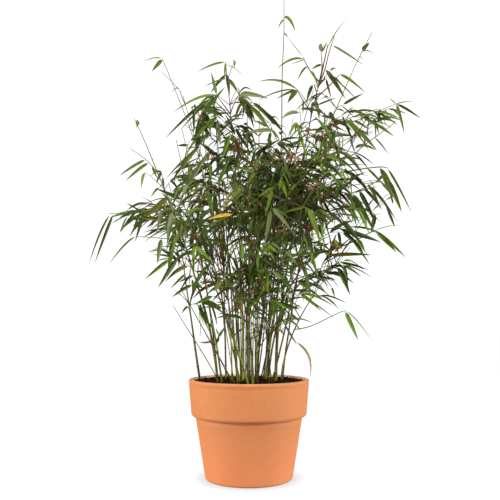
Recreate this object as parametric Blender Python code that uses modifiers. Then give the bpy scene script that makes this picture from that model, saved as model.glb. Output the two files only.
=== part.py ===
# A clump of slender bamboo in a plain terracotta pot.
# Metres, +Z up.  The origin is the centre of the pot's flat underside.
# The culms stand on the soil and fan out; the crown is a set of uneven leaf masses that
# meet face to face, and the long leaders run up through them to the tips of the crown.

import math

import bpy
import bmesh
from mathutils import Matrix, Vector, noise
from mathutils.bvhtree import BVHTree

# ---------------------------------------------------------------- driving dimensions

COLLECTION_NAME = "potted_bamboo"
CUTTER_COLLECTION_NAME = "potted_bamboo_cutters"

POT_RIM_RADIUS = 0.125
POT_HEIGHT = 0.1998
POT_BAND_HEIGHT = 0.075
POT_BAND_FOOT_RADIUS = 0.1196
POT_BODY_TOP_RADIUS = 0.1098
POT_BASE_RADIUS = 0.0905
POT_BASE_ROUNDING = 0.005
POT_WALL = 0.0088
POT_FLOOR = 0.010
POT_LIP_ROUNDING = 0.0030
POT_BAND_FOOT_ROUNDING = 0.0075
TURN_STEPS = 40

SOIL_DROP = 0.0045
SOIL_SIDE_GAP = 0.0004
CLEARANCE = 0.0003
SOIL_TOP = POT_HEIGHT - SOIL_DROP
CULM_FOOT = SOIL_TOP + CLEARANCE

CULM_SIDES_RESOLUTION = 1
CULM_TIP_RADIUS = 0.0008
CULM_FOOT_STRAIGHT = 0.004
CULM_SPAN = 0.110
TUNNEL_CLEARANCE = 0.0004
BARE_CULM_HEIGHT = 0.050
CLIMB_STEP = 0.0005
NEAREST_REACH = 0.003
RIM_POINTS = 8

# Leaders: foot x, foot y, tip x, tip y, tip height, arch, foot radius.
# The arch is the power that the sideways travel follows: 1 is straight, 2 bends near the tip.
LEADERS = {
    "culm_leader_top": (0.053, -0.030, 0.076, -0.045, 1.018, 0.85, 0.0021),
    "culm_leader_right": (0.037, 0.022, 0.181, 0.050, 0.950, 1.27, 0.0029),
    "culm_leader_far_right": (0.057, -0.008, 0.268, -0.029, 0.944, 1.86, 0.0025),
    "culm_leader_left": (-0.066, -0.012, -0.245, -0.039, 0.749, 1.42, 0.0027),
    "culm_leader_upper_left": (-0.049, 0.026, -0.151, 0.055, 0.832, 1.81, 0.0018),
    "culm_leader_thin_left": (-0.034, -0.040, -0.178, -0.100, 0.854, 2.05, 0.0015),
    "culm_leader_middle": (-0.012, 0.004, -0.052, 0.010, 0.893, 1.85, 0.0031),
    "culm_leader_back": (0.016, 0.047, 0.026, 0.175, 0.860, 1.18, 0.0023),
    "culm_leader_front": (0.001, -0.042, -0.004, -0.165, 0.740, 1.45, 0.0025),
}

# Shorter culms that stand apart from the clump and end where they enter the leaves.
SIDE_CULMS = {
    "culm_side_left": (-0.103, 0.012, -0.159, 0.020, 0.560, 0.97, 0.0025),
    "culm_side_crossing": (-0.060, -0.050, -0.153, -0.068, 0.350, 1.10, 0.0011),
    "culm_side_leaning": (-0.032, -0.066, -0.137, -0.078, 0.385, 1.04, 0.0018),
    "culm_side_right": (0.069, 0.020, 0.222, 0.032, 0.480, 1.68, 0.0019),
}

# The inner culms, which fill the clump and end where they enter the leaves.
INNER_CULMS = {
    "culm_inner_01": (-0.051, 0.048, -0.079, 0.085, 0.800, 1.51, 0.0018),
    "culm_inner_02": (-0.019, -0.024, -0.142, -0.055, 0.721, 1.04, 0.0017),
    "culm_inner_03": (-0.001, -0.088, -0.141, -0.166, 0.581, 1.10, 0.0019),
    "culm_inner_04": (-0.014, 0.024, -0.080, 0.060, 0.800, 0.96, 0.0019),
    "culm_inner_05": (0.008, -0.069, -0.110, -0.133, 0.683, 1.77, 0.0022),
    "culm_inner_06": (0.017, -0.012, 0.137, -0.040, 0.810, 1.51, 0.0021),
    "culm_inner_07": (0.032, 0.048, 0.104, 0.120, 0.800, 1.01, 0.0020),
    "culm_inner_08": (0.039, -0.056, 0.246, -0.110, 0.740, 1.59, 0.0021),
    "culm_inner_09": (0.050, 0.012, 0.179, 0.030, 0.700, 1.01, 0.0021),
    "culm_inner_10": (-0.028, 0.074, -0.116, 0.200, 0.780, 1.28, 0.0016),
    "culm_inner_11": (0.035, 0.082, 0.083, 0.220, 0.740, 1.18, 0.0015),
    "culm_inner_12": (-0.069, 0.045, -0.157, 0.148, 0.676, 1.33, 0.0022),
    "culm_inner_13": (-0.055, -0.048, -0.140, -0.161, 0.665, 1.12, 0.0020),
    "culm_inner_14": (0.074, 0.056, 0.176, 0.170, 0.700, 1.24, 0.0020),
}

# Leaf masses: centre x, y, z, then half sizes x, y, z, then the lean about Y in degrees.
MASSES = {
    "foliage_top_left": ((-0.088, 0.000, 0.790), (0.094, 0.105, 0.106), 0),
    "foliage_top_right": ((0.166, 0.015, 0.810), (0.082, 0.092, 0.140), 12),
    "foliage_top_middle": ((0.030, 0.105, 0.745), (0.110, 0.115, 0.105), 0),
    "foliage_top_front": ((0.050, -0.115, 0.680), (0.115, 0.105, 0.095), 0),
    "foliage_shoulder_right": ((0.285, 0.010, 0.745), (0.100, 0.085, 0.060), -12),
    "foliage_right": ((0.235, -0.020, 0.600), (0.115, 0.140, 0.110), 0),
    "foliage_right_drooping": ((0.300, -0.050, 0.555), (0.040, 0.065, 0.105), -18),
    "foliage_shoulder_left": ((-0.215, -0.020, 0.615), (0.085, 0.090, 0.060), 20),
    "foliage_left": ((-0.205, 0.010, 0.500), (0.115, 0.150, 0.085), 0),
    "foliage_left_drooping": ((-0.285, -0.010, 0.485), (0.050, 0.070, 0.062), 35),
    "foliage_left_back": ((-0.130, 0.155, 0.610), (0.120, 0.120, 0.130), 0),
    "foliage_middle_front": ((-0.060, -0.170, 0.560), (0.150, 0.120, 0.130), 0),
    "foliage_middle_back": ((0.090, 0.180, 0.560), (0.150, 0.120, 0.130), 0),
    "foliage_core": ((0.030, 0.000, 0.570), (0.140, 0.110, 0.140), 0),
    "foliage_lower_front": ((0.070, -0.130, 0.410), (0.150, 0.125, 0.100), 0),
    "foliage_lower_back": ((-0.010, 0.140, 0.410), (0.150, 0.125, 0.100), 0),
    "foliage_lower_left": ((-0.115, -0.030, 0.405), (0.092, 0.125, 0.085), 0),
    "foliage_lower_right": ((0.165, 0.020, 0.420), (0.105, 0.125, 0.095), 0),
    "foliage_low_spray": ((0.200, -0.010, 0.322), (0.045, 0.050, 0.052), 25),
    "foliage_tip_top": ((0.086, -0.045, 0.968), (0.024, 0.020, 0.036), 0),
}
MASS_SUBDIVISIONS = 3
SMALL_MASS_SUBDIVISIONS = 2
SMALL_MASS_SIZE = 0.060
MASS_LUMPS = 0.26
MASS_LUMP_SCALE = 1.7
MASS_TUFTS = 0.20
MASS_TUFT_SCALE = 2.6
MASS_GAP = 0.0004

# Name: base colour, roughness.
FINISHES = {
    "terracotta": ((0.63, 0.23, 0.09, 1.0), 0.75),
    "soil": ((0.022, 0.014, 0.010, 1.0), 0.95),
    "culm": ((0.17, 0.15, 0.055, 1.0), 0.5),
    "leaf": ((0.060, 0.130, 0.030, 1.0), 0.5),
}


# ---------------------------------------------------------------- scene helpers

def empty_scene():
    for thing in list(bpy.data.objects):
        bpy.data.objects.remove(thing, do_unlink=True)


def make_collection(name):
    collection = bpy.data.collections.new(name)
    bpy.context.scene.collection.children.link(collection)
    return collection


def make_finish(name):
    colour, roughness = FINISHES[name]
    finish = bpy.data.materials.new(name)
    finish.use_nodes = True
    shader = finish.node_tree.nodes["Principled BSDF"]
    shader.inputs["Base Color"].default_value = colour
    shader.inputs["Roughness"].default_value = roughness
    shader.inputs["Metallic"].default_value = 0.0
    finish.diffuse_color = colour
    return finish


def add_object(name, data, collection, finish_name):
    thing = bpy.data.objects.new(name, data)
    collection.objects.link(thing)
    data.materials.append(make_finish(finish_name))
    thing.data.materials[0].name = name + "_finish"
    return thing


# ---------------------------------------------------------------- turned pieces

def arc(centre_x, centre_z, radius, start_degrees, end_degrees, steps):
    points = []
    for step in range(steps + 1):
        angle = math.radians(start_degrees + (end_degrees - start_degrees) * step / steps)
        points.append((centre_x + radius * math.cos(angle), centre_z + radius * math.sin(angle)))
    return points


def wall_radius(height):
    """Inside radius of the pot's wall: it follows the taper of the body up to the lip."""
    share = (height - POT_FLOOR) / (POT_HEIGHT - POT_FLOOR)
    floor_radius = POT_BASE_RADIUS - POT_WALL
    mouth_radius = POT_RIM_RADIUS - POT_WALL
    return floor_radius + (mouth_radius - floor_radius) * share


def pot_profile():
    lip_top = POT_HEIGHT - POT_LIP_ROUNDING
    band_foot = POT_HEIGHT - POT_BAND_HEIGHT
    points = [(0.0, POT_FLOOR), (wall_radius(POT_FLOOR), POT_FLOOR)]
    points += arc(
        POT_RIM_RADIUS - POT_WALL + POT_LIP_ROUNDING, lip_top, POT_LIP_ROUNDING, 180, 90, 2
    )
    points += arc(POT_RIM_RADIUS - POT_LIP_ROUNDING, lip_top, POT_LIP_ROUNDING, 90, 0, 2)
    points += arc(
        POT_BAND_FOOT_RADIUS - POT_BAND_FOOT_ROUNDING,
        band_foot + POT_BAND_FOOT_ROUNDING,
        POT_BAND_FOOT_ROUNDING, 0, -90, 3,
    )
    points.append((POT_BODY_TOP_RADIUS, band_foot))
    points += arc(
        POT_BASE_RADIUS - POT_BASE_ROUNDING, POT_BASE_ROUNDING, POT_BASE_ROUNDING, -8, -90, 3
    )
    points.append((0.0, 0.0))
    return points


def soil_profile():
    foot = POT_FLOOR + CLEARANCE
    return [
        (0.0, SOIL_TOP),
        (wall_radius(SOIL_TOP) - SOIL_SIDE_GAP, SOIL_TOP),
        (wall_radius(foot) - SOIL_SIDE_GAP, foot),
        (0.0, foot),
    ]


def turned(name, profile, collection, finish_name):
    mesh = bpy.data.meshes.new(name)
    edges = [(i, i + 1) for i in range(len(profile) - 1)]
    mesh.from_pydata([(x, 0.0, z) for x, z in profile], edges, [])
    thing = add_object(name, mesh, collection, finish_name)
    screw = thing.modifiers.new("turn", "SCREW")
    screw.axis = "Z"
    screw.angle = 2.0 * math.pi
    screw.steps = TURN_STEPS
    screw.render_steps = TURN_STEPS
    screw.use_merge_vertices = True
    screw.merge_threshold = 0.00005
    screw.use_smooth_shade = True
    return thing


# ---------------------------------------------------------------- culms

def culm_point(size, height):
    foot_x, foot_y, tip_x, tip_y, tip_height, arch, _ = size
    rise = (height - CULM_FOOT) / (tip_height - CULM_FOOT)
    travel = max(rise, 0.0) ** arch
    return Vector((foot_x + (tip_x - foot_x) * travel, foot_y + (tip_y - foot_y) * travel, height))


def culm_radius(size, height):
    rise = (height - CULM_FOOT) / (size[4] - CULM_FOOT)
    return size[6] + (CULM_TIP_RADIUS - size[6]) * min(max(rise, 0.0), 1.0)


def culm_points(size, top):
    """Points up a culm, closer together near its foot, whose first run is upright."""
    foot = culm_point(size, CULM_FOOT)
    points = [foot, Vector((foot.x, foot.y, CULM_FOOT + CULM_FOOT_STRAIGHT))]
    start = CULM_FOOT + CULM_FOOT_STRAIGHT
    runs = max(2, round((top - start) / CULM_SPAN))
    for run in range(1, runs + 1):
        points.append(culm_point(size, start + (top - start) * run / runs))
    return points


def tapering_tube(name, points, radii, collection, finish_name):
    curve = bpy.data.curves.new(name, "CURVE")
    curve.dimensions = "3D"
    curve.bevel_depth = 1.0
    curve.bevel_resolution = CULM_SIDES_RESOLUTION
    curve.use_fill_caps = True
    spline = curve.splines.new("POLY")
    spline.points.add(len(points) - 1)
    for node, point, radius in zip(spline.points, points, radii):
        node.co = (*point, 1.0)
        node.radius = radius
    return add_object(name, curve, collection, finish_name)


def mesh_from_curve(thing, collection, finish_name):
    """The same tube as a mesh object with welded caps; the curve is removed."""
    name = thing.name
    bpy.context.view_layer.update()
    evaluated = thing.evaluated_get(bpy.context.evaluated_depsgraph_get())
    mesh = bpy.data.meshes.new_from_object(evaluated)
    place = thing.matrix_world.copy()
    bpy.data.objects.remove(thing, do_unlink=True)
    welded = bmesh.new()
    welded.from_mesh(mesh)
    bmesh.ops.remove_doubles(welded, verts=welded.verts, dist=0.00001)
    welded.to_mesh(mesh)
    welded.free()
    mesh.materials.clear()
    solid = add_object(name, mesh, collection, finish_name)
    solid.matrix_world = place
    return solid


def make_culm(name, size, top, collection):
    points = culm_points(size, top)
    radii = [culm_radius(size, point.z) for point in points]
    return tapering_tube(name, points, radii, collection, "culm")


def make_tunnel(name, size, collection):
    """A slightly fatter, slightly longer copy of a leader, which cuts the leaf masses."""
    points = culm_points(size, size[4])
    radii = [culm_radius(size, point.z) + TUNNEL_CLEARANCE for point in points]
    run = (points[-1] - points[-2]).normalized()
    points.append(points[-1] + run * TUNNEL_CLEARANCE)
    radii.append(radii[-1])
    tube = tapering_tube(name, points, radii, collection, "culm")
    solid = mesh_from_curve(tube, collection, "culm")
    solid.hide_render = True
    solid.display_type = "WIRE"
    return solid


def rim_points(size, height):
    """Points round the culm at a height, on the circle that its corners lie on."""
    centre = culm_point(size, height)
    radius = culm_radius(size, height)
    points = []
    for step in range(RIM_POINTS):
        angle = step * 2.0 * math.pi / RIM_POINTS
        points.append(centre + Vector((radius * math.cos(angle), radius * math.sin(angle), 0.0)))
    return points


def height_under_leaves(size, trees):
    """How high a culm goes before any of its sides comes near a leaf mass."""
    height = CULM_FOOT + BARE_CULM_HEIGHT
    while height < size[4]:
        for point in rim_points(size, height):
            for tree in trees:
                spot, _, _, distance = tree.find_nearest(point, NEAREST_REACH)
                if spot is not None and distance < MASS_GAP + CLEARANCE:
                    return height - CLIMB_STEP
        height += CLIMB_STEP
    return height


# ---------------------------------------------------------------- leaf masses

def reach(half_sizes, turn, direction):
    """How far a leaning ellipsoid goes from its centre in a direction."""
    local = turn @ direction
    inverse = math.sqrt(sum((local[axis] / half_sizes[axis]) ** 2 for axis in range(3)))
    return 1.0 / inverse


def mass_lean(degrees):
    return Matrix.Rotation(math.radians(-degrees), 3, "Y")


def uneven(direction, seed):
    """A factor near 1 that gives each mass broad lumps and pointed tufts of its own."""
    lumps = noise.noise(direction * MASS_LUMP_SCALE + Vector((seed * 7.3, 1.7, 4.1)))
    tufts = noise.noise(direction * MASS_TUFT_SCALE + Vector((2.9, seed * 5.1, 8.3)))
    return 1.0 + MASS_LUMPS * lumps + MASS_TUFTS * (0.5 - 2.0 * abs(tufts))


def facing_planes(name):
    """Planes between a mass and its neighbours: a unit direction and a distance for each."""
    centre, half_sizes, lean = MASSES[name]
    planes = []
    for other, (other_centre, other_half_sizes, other_lean) in MASSES.items():
        if other == name:
            continue
        between = Vector(other_centre) - Vector(centre)
        distance = between.length
        direction = between.normalized()
        mine = reach(half_sizes, mass_lean(lean), direction)
        theirs = reach(other_half_sizes, mass_lean(other_lean), -direction)
        planes.append((direction, distance * mine / (mine + theirs) - MASS_GAP / 2.0))
    return planes


def make_mass(name, seed, collection):
    centre, half_sizes, lean = MASSES[name]
    turn = mass_lean(lean)
    planes = facing_planes(name)
    fineness = MASS_SUBDIVISIONS
    if max(half_sizes) < SMALL_MASS_SIZE:
        fineness = SMALL_MASS_SUBDIVISIONS
    ball = bmesh.new()
    bmesh.ops.create_icosphere(ball, subdivisions=fineness, radius=1.0)
    for corner in ball.verts:
        direction = corner.co.normalized()
        length = reach(half_sizes, turn, direction) * uneven(direction, seed)
        for normal, distance in planes:
            toward = direction.dot(normal)
            if toward > 0.0:
                length = min(length, distance / toward)
        corner.co = Vector(centre) + direction * length
    tree = BVHTree.FromBMesh(ball)
    mesh = bpy.data.meshes.new(name)
    ball.to_mesh(mesh)
    ball.free()
    return add_object(name, mesh, collection, "leaf"), tree


def cut_round_leaders(mass, cutters):
    cut = mass.modifiers.new("round_leaders", "BOOLEAN")
    cut.operation = "DIFFERENCE"
    cut.operand_type = "COLLECTION"
    cut.collection = cutters
    cut.solver = "EXACT"


# ---------------------------------------------------------------- the whole plant

def build():
    empty_scene()
    collection = make_collection(COLLECTION_NAME)
    cutters = make_collection(CUTTER_COLLECTION_NAME)

    turned("pot", pot_profile(), collection, "terracotta")
    turned("soil", soil_profile(), collection, "soil")

    masses = []
    trees = []
    for seed, name in enumerate(MASSES):
        mass, tree = make_mass(name, seed, collection)
        masses.append(mass)
        trees.append(tree)

    for name, size in LEADERS.items():
        make_culm(name, size, size[4], collection)
        make_tunnel("tunnel_" + name, size, cutters)

    for name, size in {**SIDE_CULMS, **INNER_CULMS}.items():
        make_culm(name, size, height_under_leaves(size, trees), collection)

    for mass in masses:
        cut_round_leaders(mass, cutters)


build()
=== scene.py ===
import bpy
import math
import random
import numpy as np
from mathutils import Matrix, Vector, noise


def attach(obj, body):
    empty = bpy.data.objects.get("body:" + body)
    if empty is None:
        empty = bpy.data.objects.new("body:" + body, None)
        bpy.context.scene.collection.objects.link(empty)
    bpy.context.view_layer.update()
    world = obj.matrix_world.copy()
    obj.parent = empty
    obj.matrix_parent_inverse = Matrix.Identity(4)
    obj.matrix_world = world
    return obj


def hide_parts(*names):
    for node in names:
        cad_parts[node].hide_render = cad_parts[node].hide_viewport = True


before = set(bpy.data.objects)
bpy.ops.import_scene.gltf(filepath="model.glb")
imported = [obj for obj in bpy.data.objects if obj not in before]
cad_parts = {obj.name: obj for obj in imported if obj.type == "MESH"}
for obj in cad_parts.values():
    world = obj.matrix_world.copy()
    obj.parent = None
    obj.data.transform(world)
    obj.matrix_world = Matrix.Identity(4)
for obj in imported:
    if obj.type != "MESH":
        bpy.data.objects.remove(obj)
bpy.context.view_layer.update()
plantNodes = sorted(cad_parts)
foliageNodes = [name for name in plantNodes if name.startswith("foliage")]
culmNodes = [name for name in plantNodes if name.startswith("culm")]
bakeMap = "OFBake"
print("frame loaded:", len(plantNodes), "nodes")


# A socket that takes part in sums, each sign adding one Math node.
class Wire:
    def __init__(self, paint, socket):
        self.paint = paint
        self.socket = socket

    def sum(self, operation, *others):
        return self.paint.add("ShaderNodeMath", {"operation": operation},
                              {place: value for place, value in enumerate((self,) + others)})

    def __add__(self, other):
        return self.sum("ADD", other)

    def __sub__(self, other):
        return self.sum("SUBTRACT", other)

    def __rsub__(self, other):
        return (self * -1.0).sum("ADD", other)

    def __mul__(self, other):
        return self.sum("MULTIPLY", other)

    def __truediv__(self, other):
        return self.sum("DIVIDE", other)

    def __pow__(self, other):
        return self.sum("POWER", other)

    def __abs__(self):
        return self.sum("ABSOLUTE")

    def clamped(self):
        return self.sum("MAXIMUM", 0.0).sum("MINIMUM", 1.0)

    def rise(self, low, high):
        return ((self - low) / (high - low)).clamped()

    __radd__ = __add__
    __rmul__ = __mul__


# One material: add() makes any node, sets it up and joins its sockets.
class Paint:
    def __init__(self, name, colour, roughness, **fixed):
        self.material = bpy.data.materials.new(name)
        self.material.use_nodes = True
        self.tree = self.material.node_tree
        self.shader = self.tree.nodes["Principled BSDF"]
        self.shader.inputs["Base Color"].default_value = (*colour, 1.0)
        self.shader.inputs["Roughness"].default_value = roughness
        for socket, value in fixed.items():
            self.shader.inputs[socket.replace("_", " ")].default_value = value
        self.material.diffuse_color = (*colour, 1.0)

    def join(self, value, socket):
        if isinstance(value, Wire):
            self.tree.links.new(value.socket, socket)
        elif isinstance(value, tuple) and socket.type == "RGBA" and len(value) == 3:
            socket.default_value = (*value, 1.0)
        else:
            socket.default_value = value

    def add(self, kind, settings, sockets, out=0):
        node = self.tree.nodes.new(kind)
        for name, value in settings.items():
            setattr(node, name, value)
        for place, value in sockets.items():
            self.join(value, node.inputs[place])
        return Wire(self, node.outputs[out])

    def mapAxes(self, mapName):
        spot = self.add("ShaderNodeUVMap", {"uv_map": mapName}, {})
        return [self.add("ShaderNodeSeparateXYZ", {}, {0: spot}, out) for out in (0, 1)]

    def objectSpot(self):
        return self.add("ShaderNodeTexCoord", {}, {}, "Object")

    def stretched(self, spot, scale):
        return self.add("ShaderNodeMapping", {}, {"Vector": spot, "Scale": scale})

    def noise(self, spot, scale, detail=3.0, roughness=0.55):
        return self.add("ShaderNodeTexNoise", {}, {"Vector": spot, "Scale": scale,
                        "Detail": detail, "Roughness": roughness}, "Fac")

    def blend(self, share, first, second):
        return self.add("ShaderNodeMix", {"data_type": "RGBA"}, {0: share, 6: first, 7: second}, 2)

    def bump(self, height, strength, distance):
        normal = self.add("ShaderNodeBump", {}, {"Height": height, "Strength": strength,
                          "Distance": distance}, "Normal")
        self.feed("Normal", normal)

    def feed(self, socket, value):
        self.join(value, self.shader.inputs[socket])


# Meshes from lists of corners and faces, with maps given corner by corner of each face.
def makePiece(name, corners, faces, maps, paint, nodes, smooth=True, creased=None):
    mesh = bpy.data.meshes.new(name)
    mesh.from_pydata(corners, [], faces)
    for mapName, spots in maps.items():
        layer = mesh.uv_layers.new(name=mapName)
        layer.data.foreach_set("uv", np.asarray(spots, dtype=np.float32).ravel())
    if smooth:
        mesh.shade_smooth()
    if creased is not None:
        ends = np.empty(len(mesh.edges) * 2, dtype=np.int32)
        mesh.edges.foreach_get("vertices", ends)
        sharp = creased[ends].reshape(-1, 2).all(axis=1)
        mesh.edges.foreach_set("use_edge_sharp", sharp)
    mesh.materials.append(paint.material)
    mesh.update()
    piece = bpy.data.objects.new(name, mesh)
    bpy.context.scene.collection.objects.link(piece)
    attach(piece, "root")
    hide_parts(*nodes)
    return piece


# Tubes gathered into one mesh. Each has its own strip of the bake map, or all share one.
class TubeSet:
    def __init__(self, sides, strips=1, stripWidth=0.9):
        self.sides = sides
        self.strips = strips
        self.stripWidth = stripWidth
        self.corners = []
        self.faces = []
        self.bakeSpots = []
        self.lookSpots = []

    def add(self, points, radii, strip=0, looks=None):
        points = np.asarray(points, dtype=float)
        radii = np.asarray(radii, dtype=float)
        count = len(points)
        along = np.gradient(points, axis=0)
        along /= np.linalg.norm(along, axis=1)[:, None] + 1e-12
        guide = np.array((0.0, 1.0, 0.0)) if abs(along[0][1]) < 0.9 else np.array((1.0, 0.0, 0.0))
        sideways = np.cross(along, guide)
        sideways /= np.linalg.norm(sideways, axis=1)[:, None] + 1e-12
        across = np.cross(along, sideways)
        start = len(self.corners)
        turns = [2.0 * math.pi * side / self.sides for side in range(self.sides)]
        for ring in range(count):
            for turn in turns:
                offset = sideways[ring] * math.cos(turn) + across[ring] * math.sin(turn)
                self.corners.append(tuple(points[ring] + offset * radii[ring]))
        runs = np.concatenate(([0.0], np.cumsum(np.linalg.norm(np.diff(points, axis=0), axis=1))))
        heights = 0.01 + 0.98 * runs / runs[-1]
        left = (strip + 0.5 - self.stripWidth / 2.0) / self.strips
        width = self.stripWidth / self.strips
        if looks is None:
            looks = [(0.0, share) for share in heights]
        for ring in range(count - 1):
            low = start + ring * self.sides
            for side in range(self.sides):
                after = (side + 1) % self.sides
                self.faces.append((low + side, low + self.sides + side,
                                   low + self.sides + after, low + after))
                near = left + width * side / self.sides
                far = left + width * (side + 1) / self.sides
                self.bakeSpots += [(near, heights[ring]), (near, heights[ring + 1]),
                                   (far, heights[ring + 1]), (far, heights[ring])]
                self.lookSpots += [looks[ring], looks[ring + 1], looks[ring + 1], looks[ring]]
        for ring, order in ((0, 1), (count - 1, -1)):
            cap = [start + ring * self.sides + side for side in range(self.sides)][::order]
            self.faces.append(tuple(cap))
            for side in range(self.sides):
                self.bakeSpots.append((left + width * (side + 0.5) / self.sides, heights[ring]))
                self.lookSpots.append(looks[ring])


# Camera, light and floor.
viewSizes = {
    "distance": 1.35, "height": 0.318, "tilt": 6.45, "turn": -0.09,
    "frame": 500, "focalPixels": 634.9, "sensor": 36.0,
}


def makeCamera():
    data = bpy.data.cameras.new("camera")
    data.sensor_width = viewSizes["sensor"]
    data.lens = viewSizes["focalPixels"] / viewSizes["frame"] * viewSizes["sensor"]
    data.clip_start = 0.05
    data.clip_end = 50.0
    camera = bpy.data.objects.new("camera", data)
    camera.location = (0.0, -viewSizes["distance"], viewSizes["height"])
    camera.rotation_euler = (math.radians(90.0 + viewSizes["tilt"]), 0.0,
                             math.radians(viewSizes["turn"]))
    bpy.context.scene.collection.objects.link(camera)
    bpy.context.scene.camera = camera


# The point that the camera sees at a column and row of its frame, at a depth behind the pot's axis.
def seenAt(column, row, depth=0.0):
    away = viewSizes["distance"] + depth
    middle = viewSizes["frame"] / 2.0
    rise = math.radians(viewSizes["tilt"]) + math.atan((middle - row) / viewSizes["focalPixels"])
    height = away * math.tan(rise)
    tilt = math.radians(viewSizes["tilt"])
    reach = away * math.cos(tilt) + height * math.sin(tilt)
    turn = math.tan(math.radians(-viewSizes["turn"])) * reach
    sideways = (column - middle) / viewSizes["focalPixels"] * reach + turn
    return Vector((sideways, depth, viewSizes["height"] + height))


lightSizes = {
    "leftPlace": (-1.8, -0.85, 0.70), "leftSize": 1.0, "leftPower": 49.0,
    "rightPlace": (1.8, -0.80, 0.65), "rightSize": 1.0, "rightPower": 44.0,
    "topPlace": (0.0, -1.0, 2.3), "topSize": 1.0, "topPower": 42.0,
    "aim": (0.0, 0.0, 0.40), "skyShown": 1.1, "skyLight": 0.22, "floorGlow": 1.0,
    # The contact and shade sizes below set the floor's painted shadow around the pot.
    "floorShade": 0.08, "contactReach": 0.040, "contactShade": 0.52,
    "shadeAhead": 0.03, "shadeEdge": (0.070, 0.116), "shadeDepth": 0.20,
}


def makeLight(name):
    data = bpy.data.lights.new(name + "Light", "AREA")
    data.size = lightSizes[name + "Size"]
    data.energy = lightSizes[name + "Power"]
    lamp = bpy.data.objects.new(name + "Light", data)
    lamp.location = lightSizes[name + "Place"]
    aim = Vector(lightSizes["aim"]) - lamp.location
    lamp.rotation_euler = aim.to_track_quat("-Z", "Y").to_euler()
    bpy.context.scene.collection.objects.link(lamp)


# The room shows pure white, and lights the plant less than it shows.
def makeWorld():
    world = bpy.data.worlds.new("paleRoom")
    world.use_nodes = True
    tree = world.node_tree
    shown = tree.nodes["Background"]
    shown.inputs["Strength"].default_value = lightSizes["skyShown"]
    lit = tree.nodes.new("ShaderNodeBackground")
    lit.inputs["Strength"].default_value = lightSizes["skyLight"]
    shown.inputs["Color"].default_value = (1.0, 1.0, 1.0, 1.0)
    lit.inputs["Color"].default_value = (1.0, 0.98, 0.86, 1.0)
    path = tree.nodes.new("ShaderNodeLightPath")
    mix = tree.nodes.new("ShaderNodeMixShader")
    tree.links.new(path.outputs["Is Camera Ray"], mix.inputs[0])
    tree.links.new(lit.outputs[0], mix.inputs[1])
    tree.links.new(shown.outputs[0], mix.inputs[2])
    tree.links.new(mix.outputs[0], tree.nodes["World Output"].inputs["Surface"])
    bpy.context.scene.world = world


def makeSurroundings():
    scene = bpy.context.scene
    scene.view_settings.view_transform = "Standard"
    scene.view_settings.look = "None"
    makeWorld()
    for name in ("left", "right", "top"):
        makeLight(name)
    mesh = bpy.data.meshes.new("floor")
    half = 14.0
    mesh.from_pydata([(-half, -half, 0.0), (half, -half, 0.0), (half, half, 0.0),
                      (-half, half, 0.0)], [], [(0, 1, 2, 3)])
    floor = bpy.data.objects.new("floor", mesh)
    shade = lightSizes["floorShade"]
    floorPaint = Paint("paleFloor", (shade, shade, shade), 0.95, Specular_IOR_Level=0.0,
                       Emission_Color=(1.0, 1.0, 1.0, 1.0), Emission_Strength=lightSizes["floorGlow"])
    # Painted shadow: the floor's glow is dimmed where ambient occlusion finds the pot close by, and in
    # a soft disc just in front of the pot's centre.
    airy = floorPaint.add("ShaderNodeAmbientOcclusion", {"samples": 12},
                           {"Distance": lightSizes["contactReach"]}, "AO")
    spot = floorPaint.objectSpot()
    x, y = [floorPaint.add("ShaderNodeSeparateXYZ", {}, {0: spot}, out) for out in (0, 1)]
    ahead = y + lightSizes["shadeAhead"]
    away = ((x * x + ahead * ahead) ** 0.5).rise(*lightSizes["shadeEdge"])
    lit = airy * (1.0 - (1.0 - away) * lightSizes["shadeDepth"])
    dim = (lightSizes["contactShade"],) * 3
    floorPaint.feed("Emission Color", floorPaint.blend(lit, dim, (1.0, 1.0, 1.0)))
    mesh.materials.append(floorPaint.material)
    scene.collection.objects.link(floor)
    floor.visible_diffuse = False  # its glow stays off the plant


makeCamera()
makeSurroundings()
print("camera, lights and floor")


# The pot: one turned wall with a rolled lip, a deep rim band and a rounded foot.
potSizes = {
    "rimRadius": 0.125, "height": 0.1998, "bandHeight": 0.0750, "bandFootRadius": 0.1196,
    "bodyTopRadius": 0.1098, "baseRadius": 0.0905, "baseRounding": 0.005, "wall": 0.0088,
    "floor": 0.010, "lipRounding": 0.0030, "bandFootRounding": 0.0075, "neckDepth": 0.0015,
    "neckHeight": 0.0035, "neckFade": 0.0060, "lipDepth": 0.0068, "lipGroove": 0.0004,
    "grooveFade": 0.0125, "crease": 0.0006,
    "steps": 160, "wobble": 0.00012,
}


def arcPoints(centreX, centreZ, radius, start, end, steps):
    points = []
    for step in range(steps + 1):
        angle = math.radians(start + (end - start) * step / steps)
        points.append((centreX + radius * math.cos(angle), centreZ + radius * math.sin(angle)))
    return points


def straightPoints(first, last, steps):
    return [(first[0] + (last[0] - first[0]) * step / steps,
             first[1] + (last[1] - first[1]) * step / steps) for step in range(1, steps)]


def wallRadius(height):
    share = (height - potSizes["floor"]) / (potSizes["height"] - potSizes["floor"])
    low = potSizes["baseRadius"] - potSizes["wall"]
    high = potSizes["rimRadius"] - potSizes["wall"]
    return low + (high - low) * share


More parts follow.
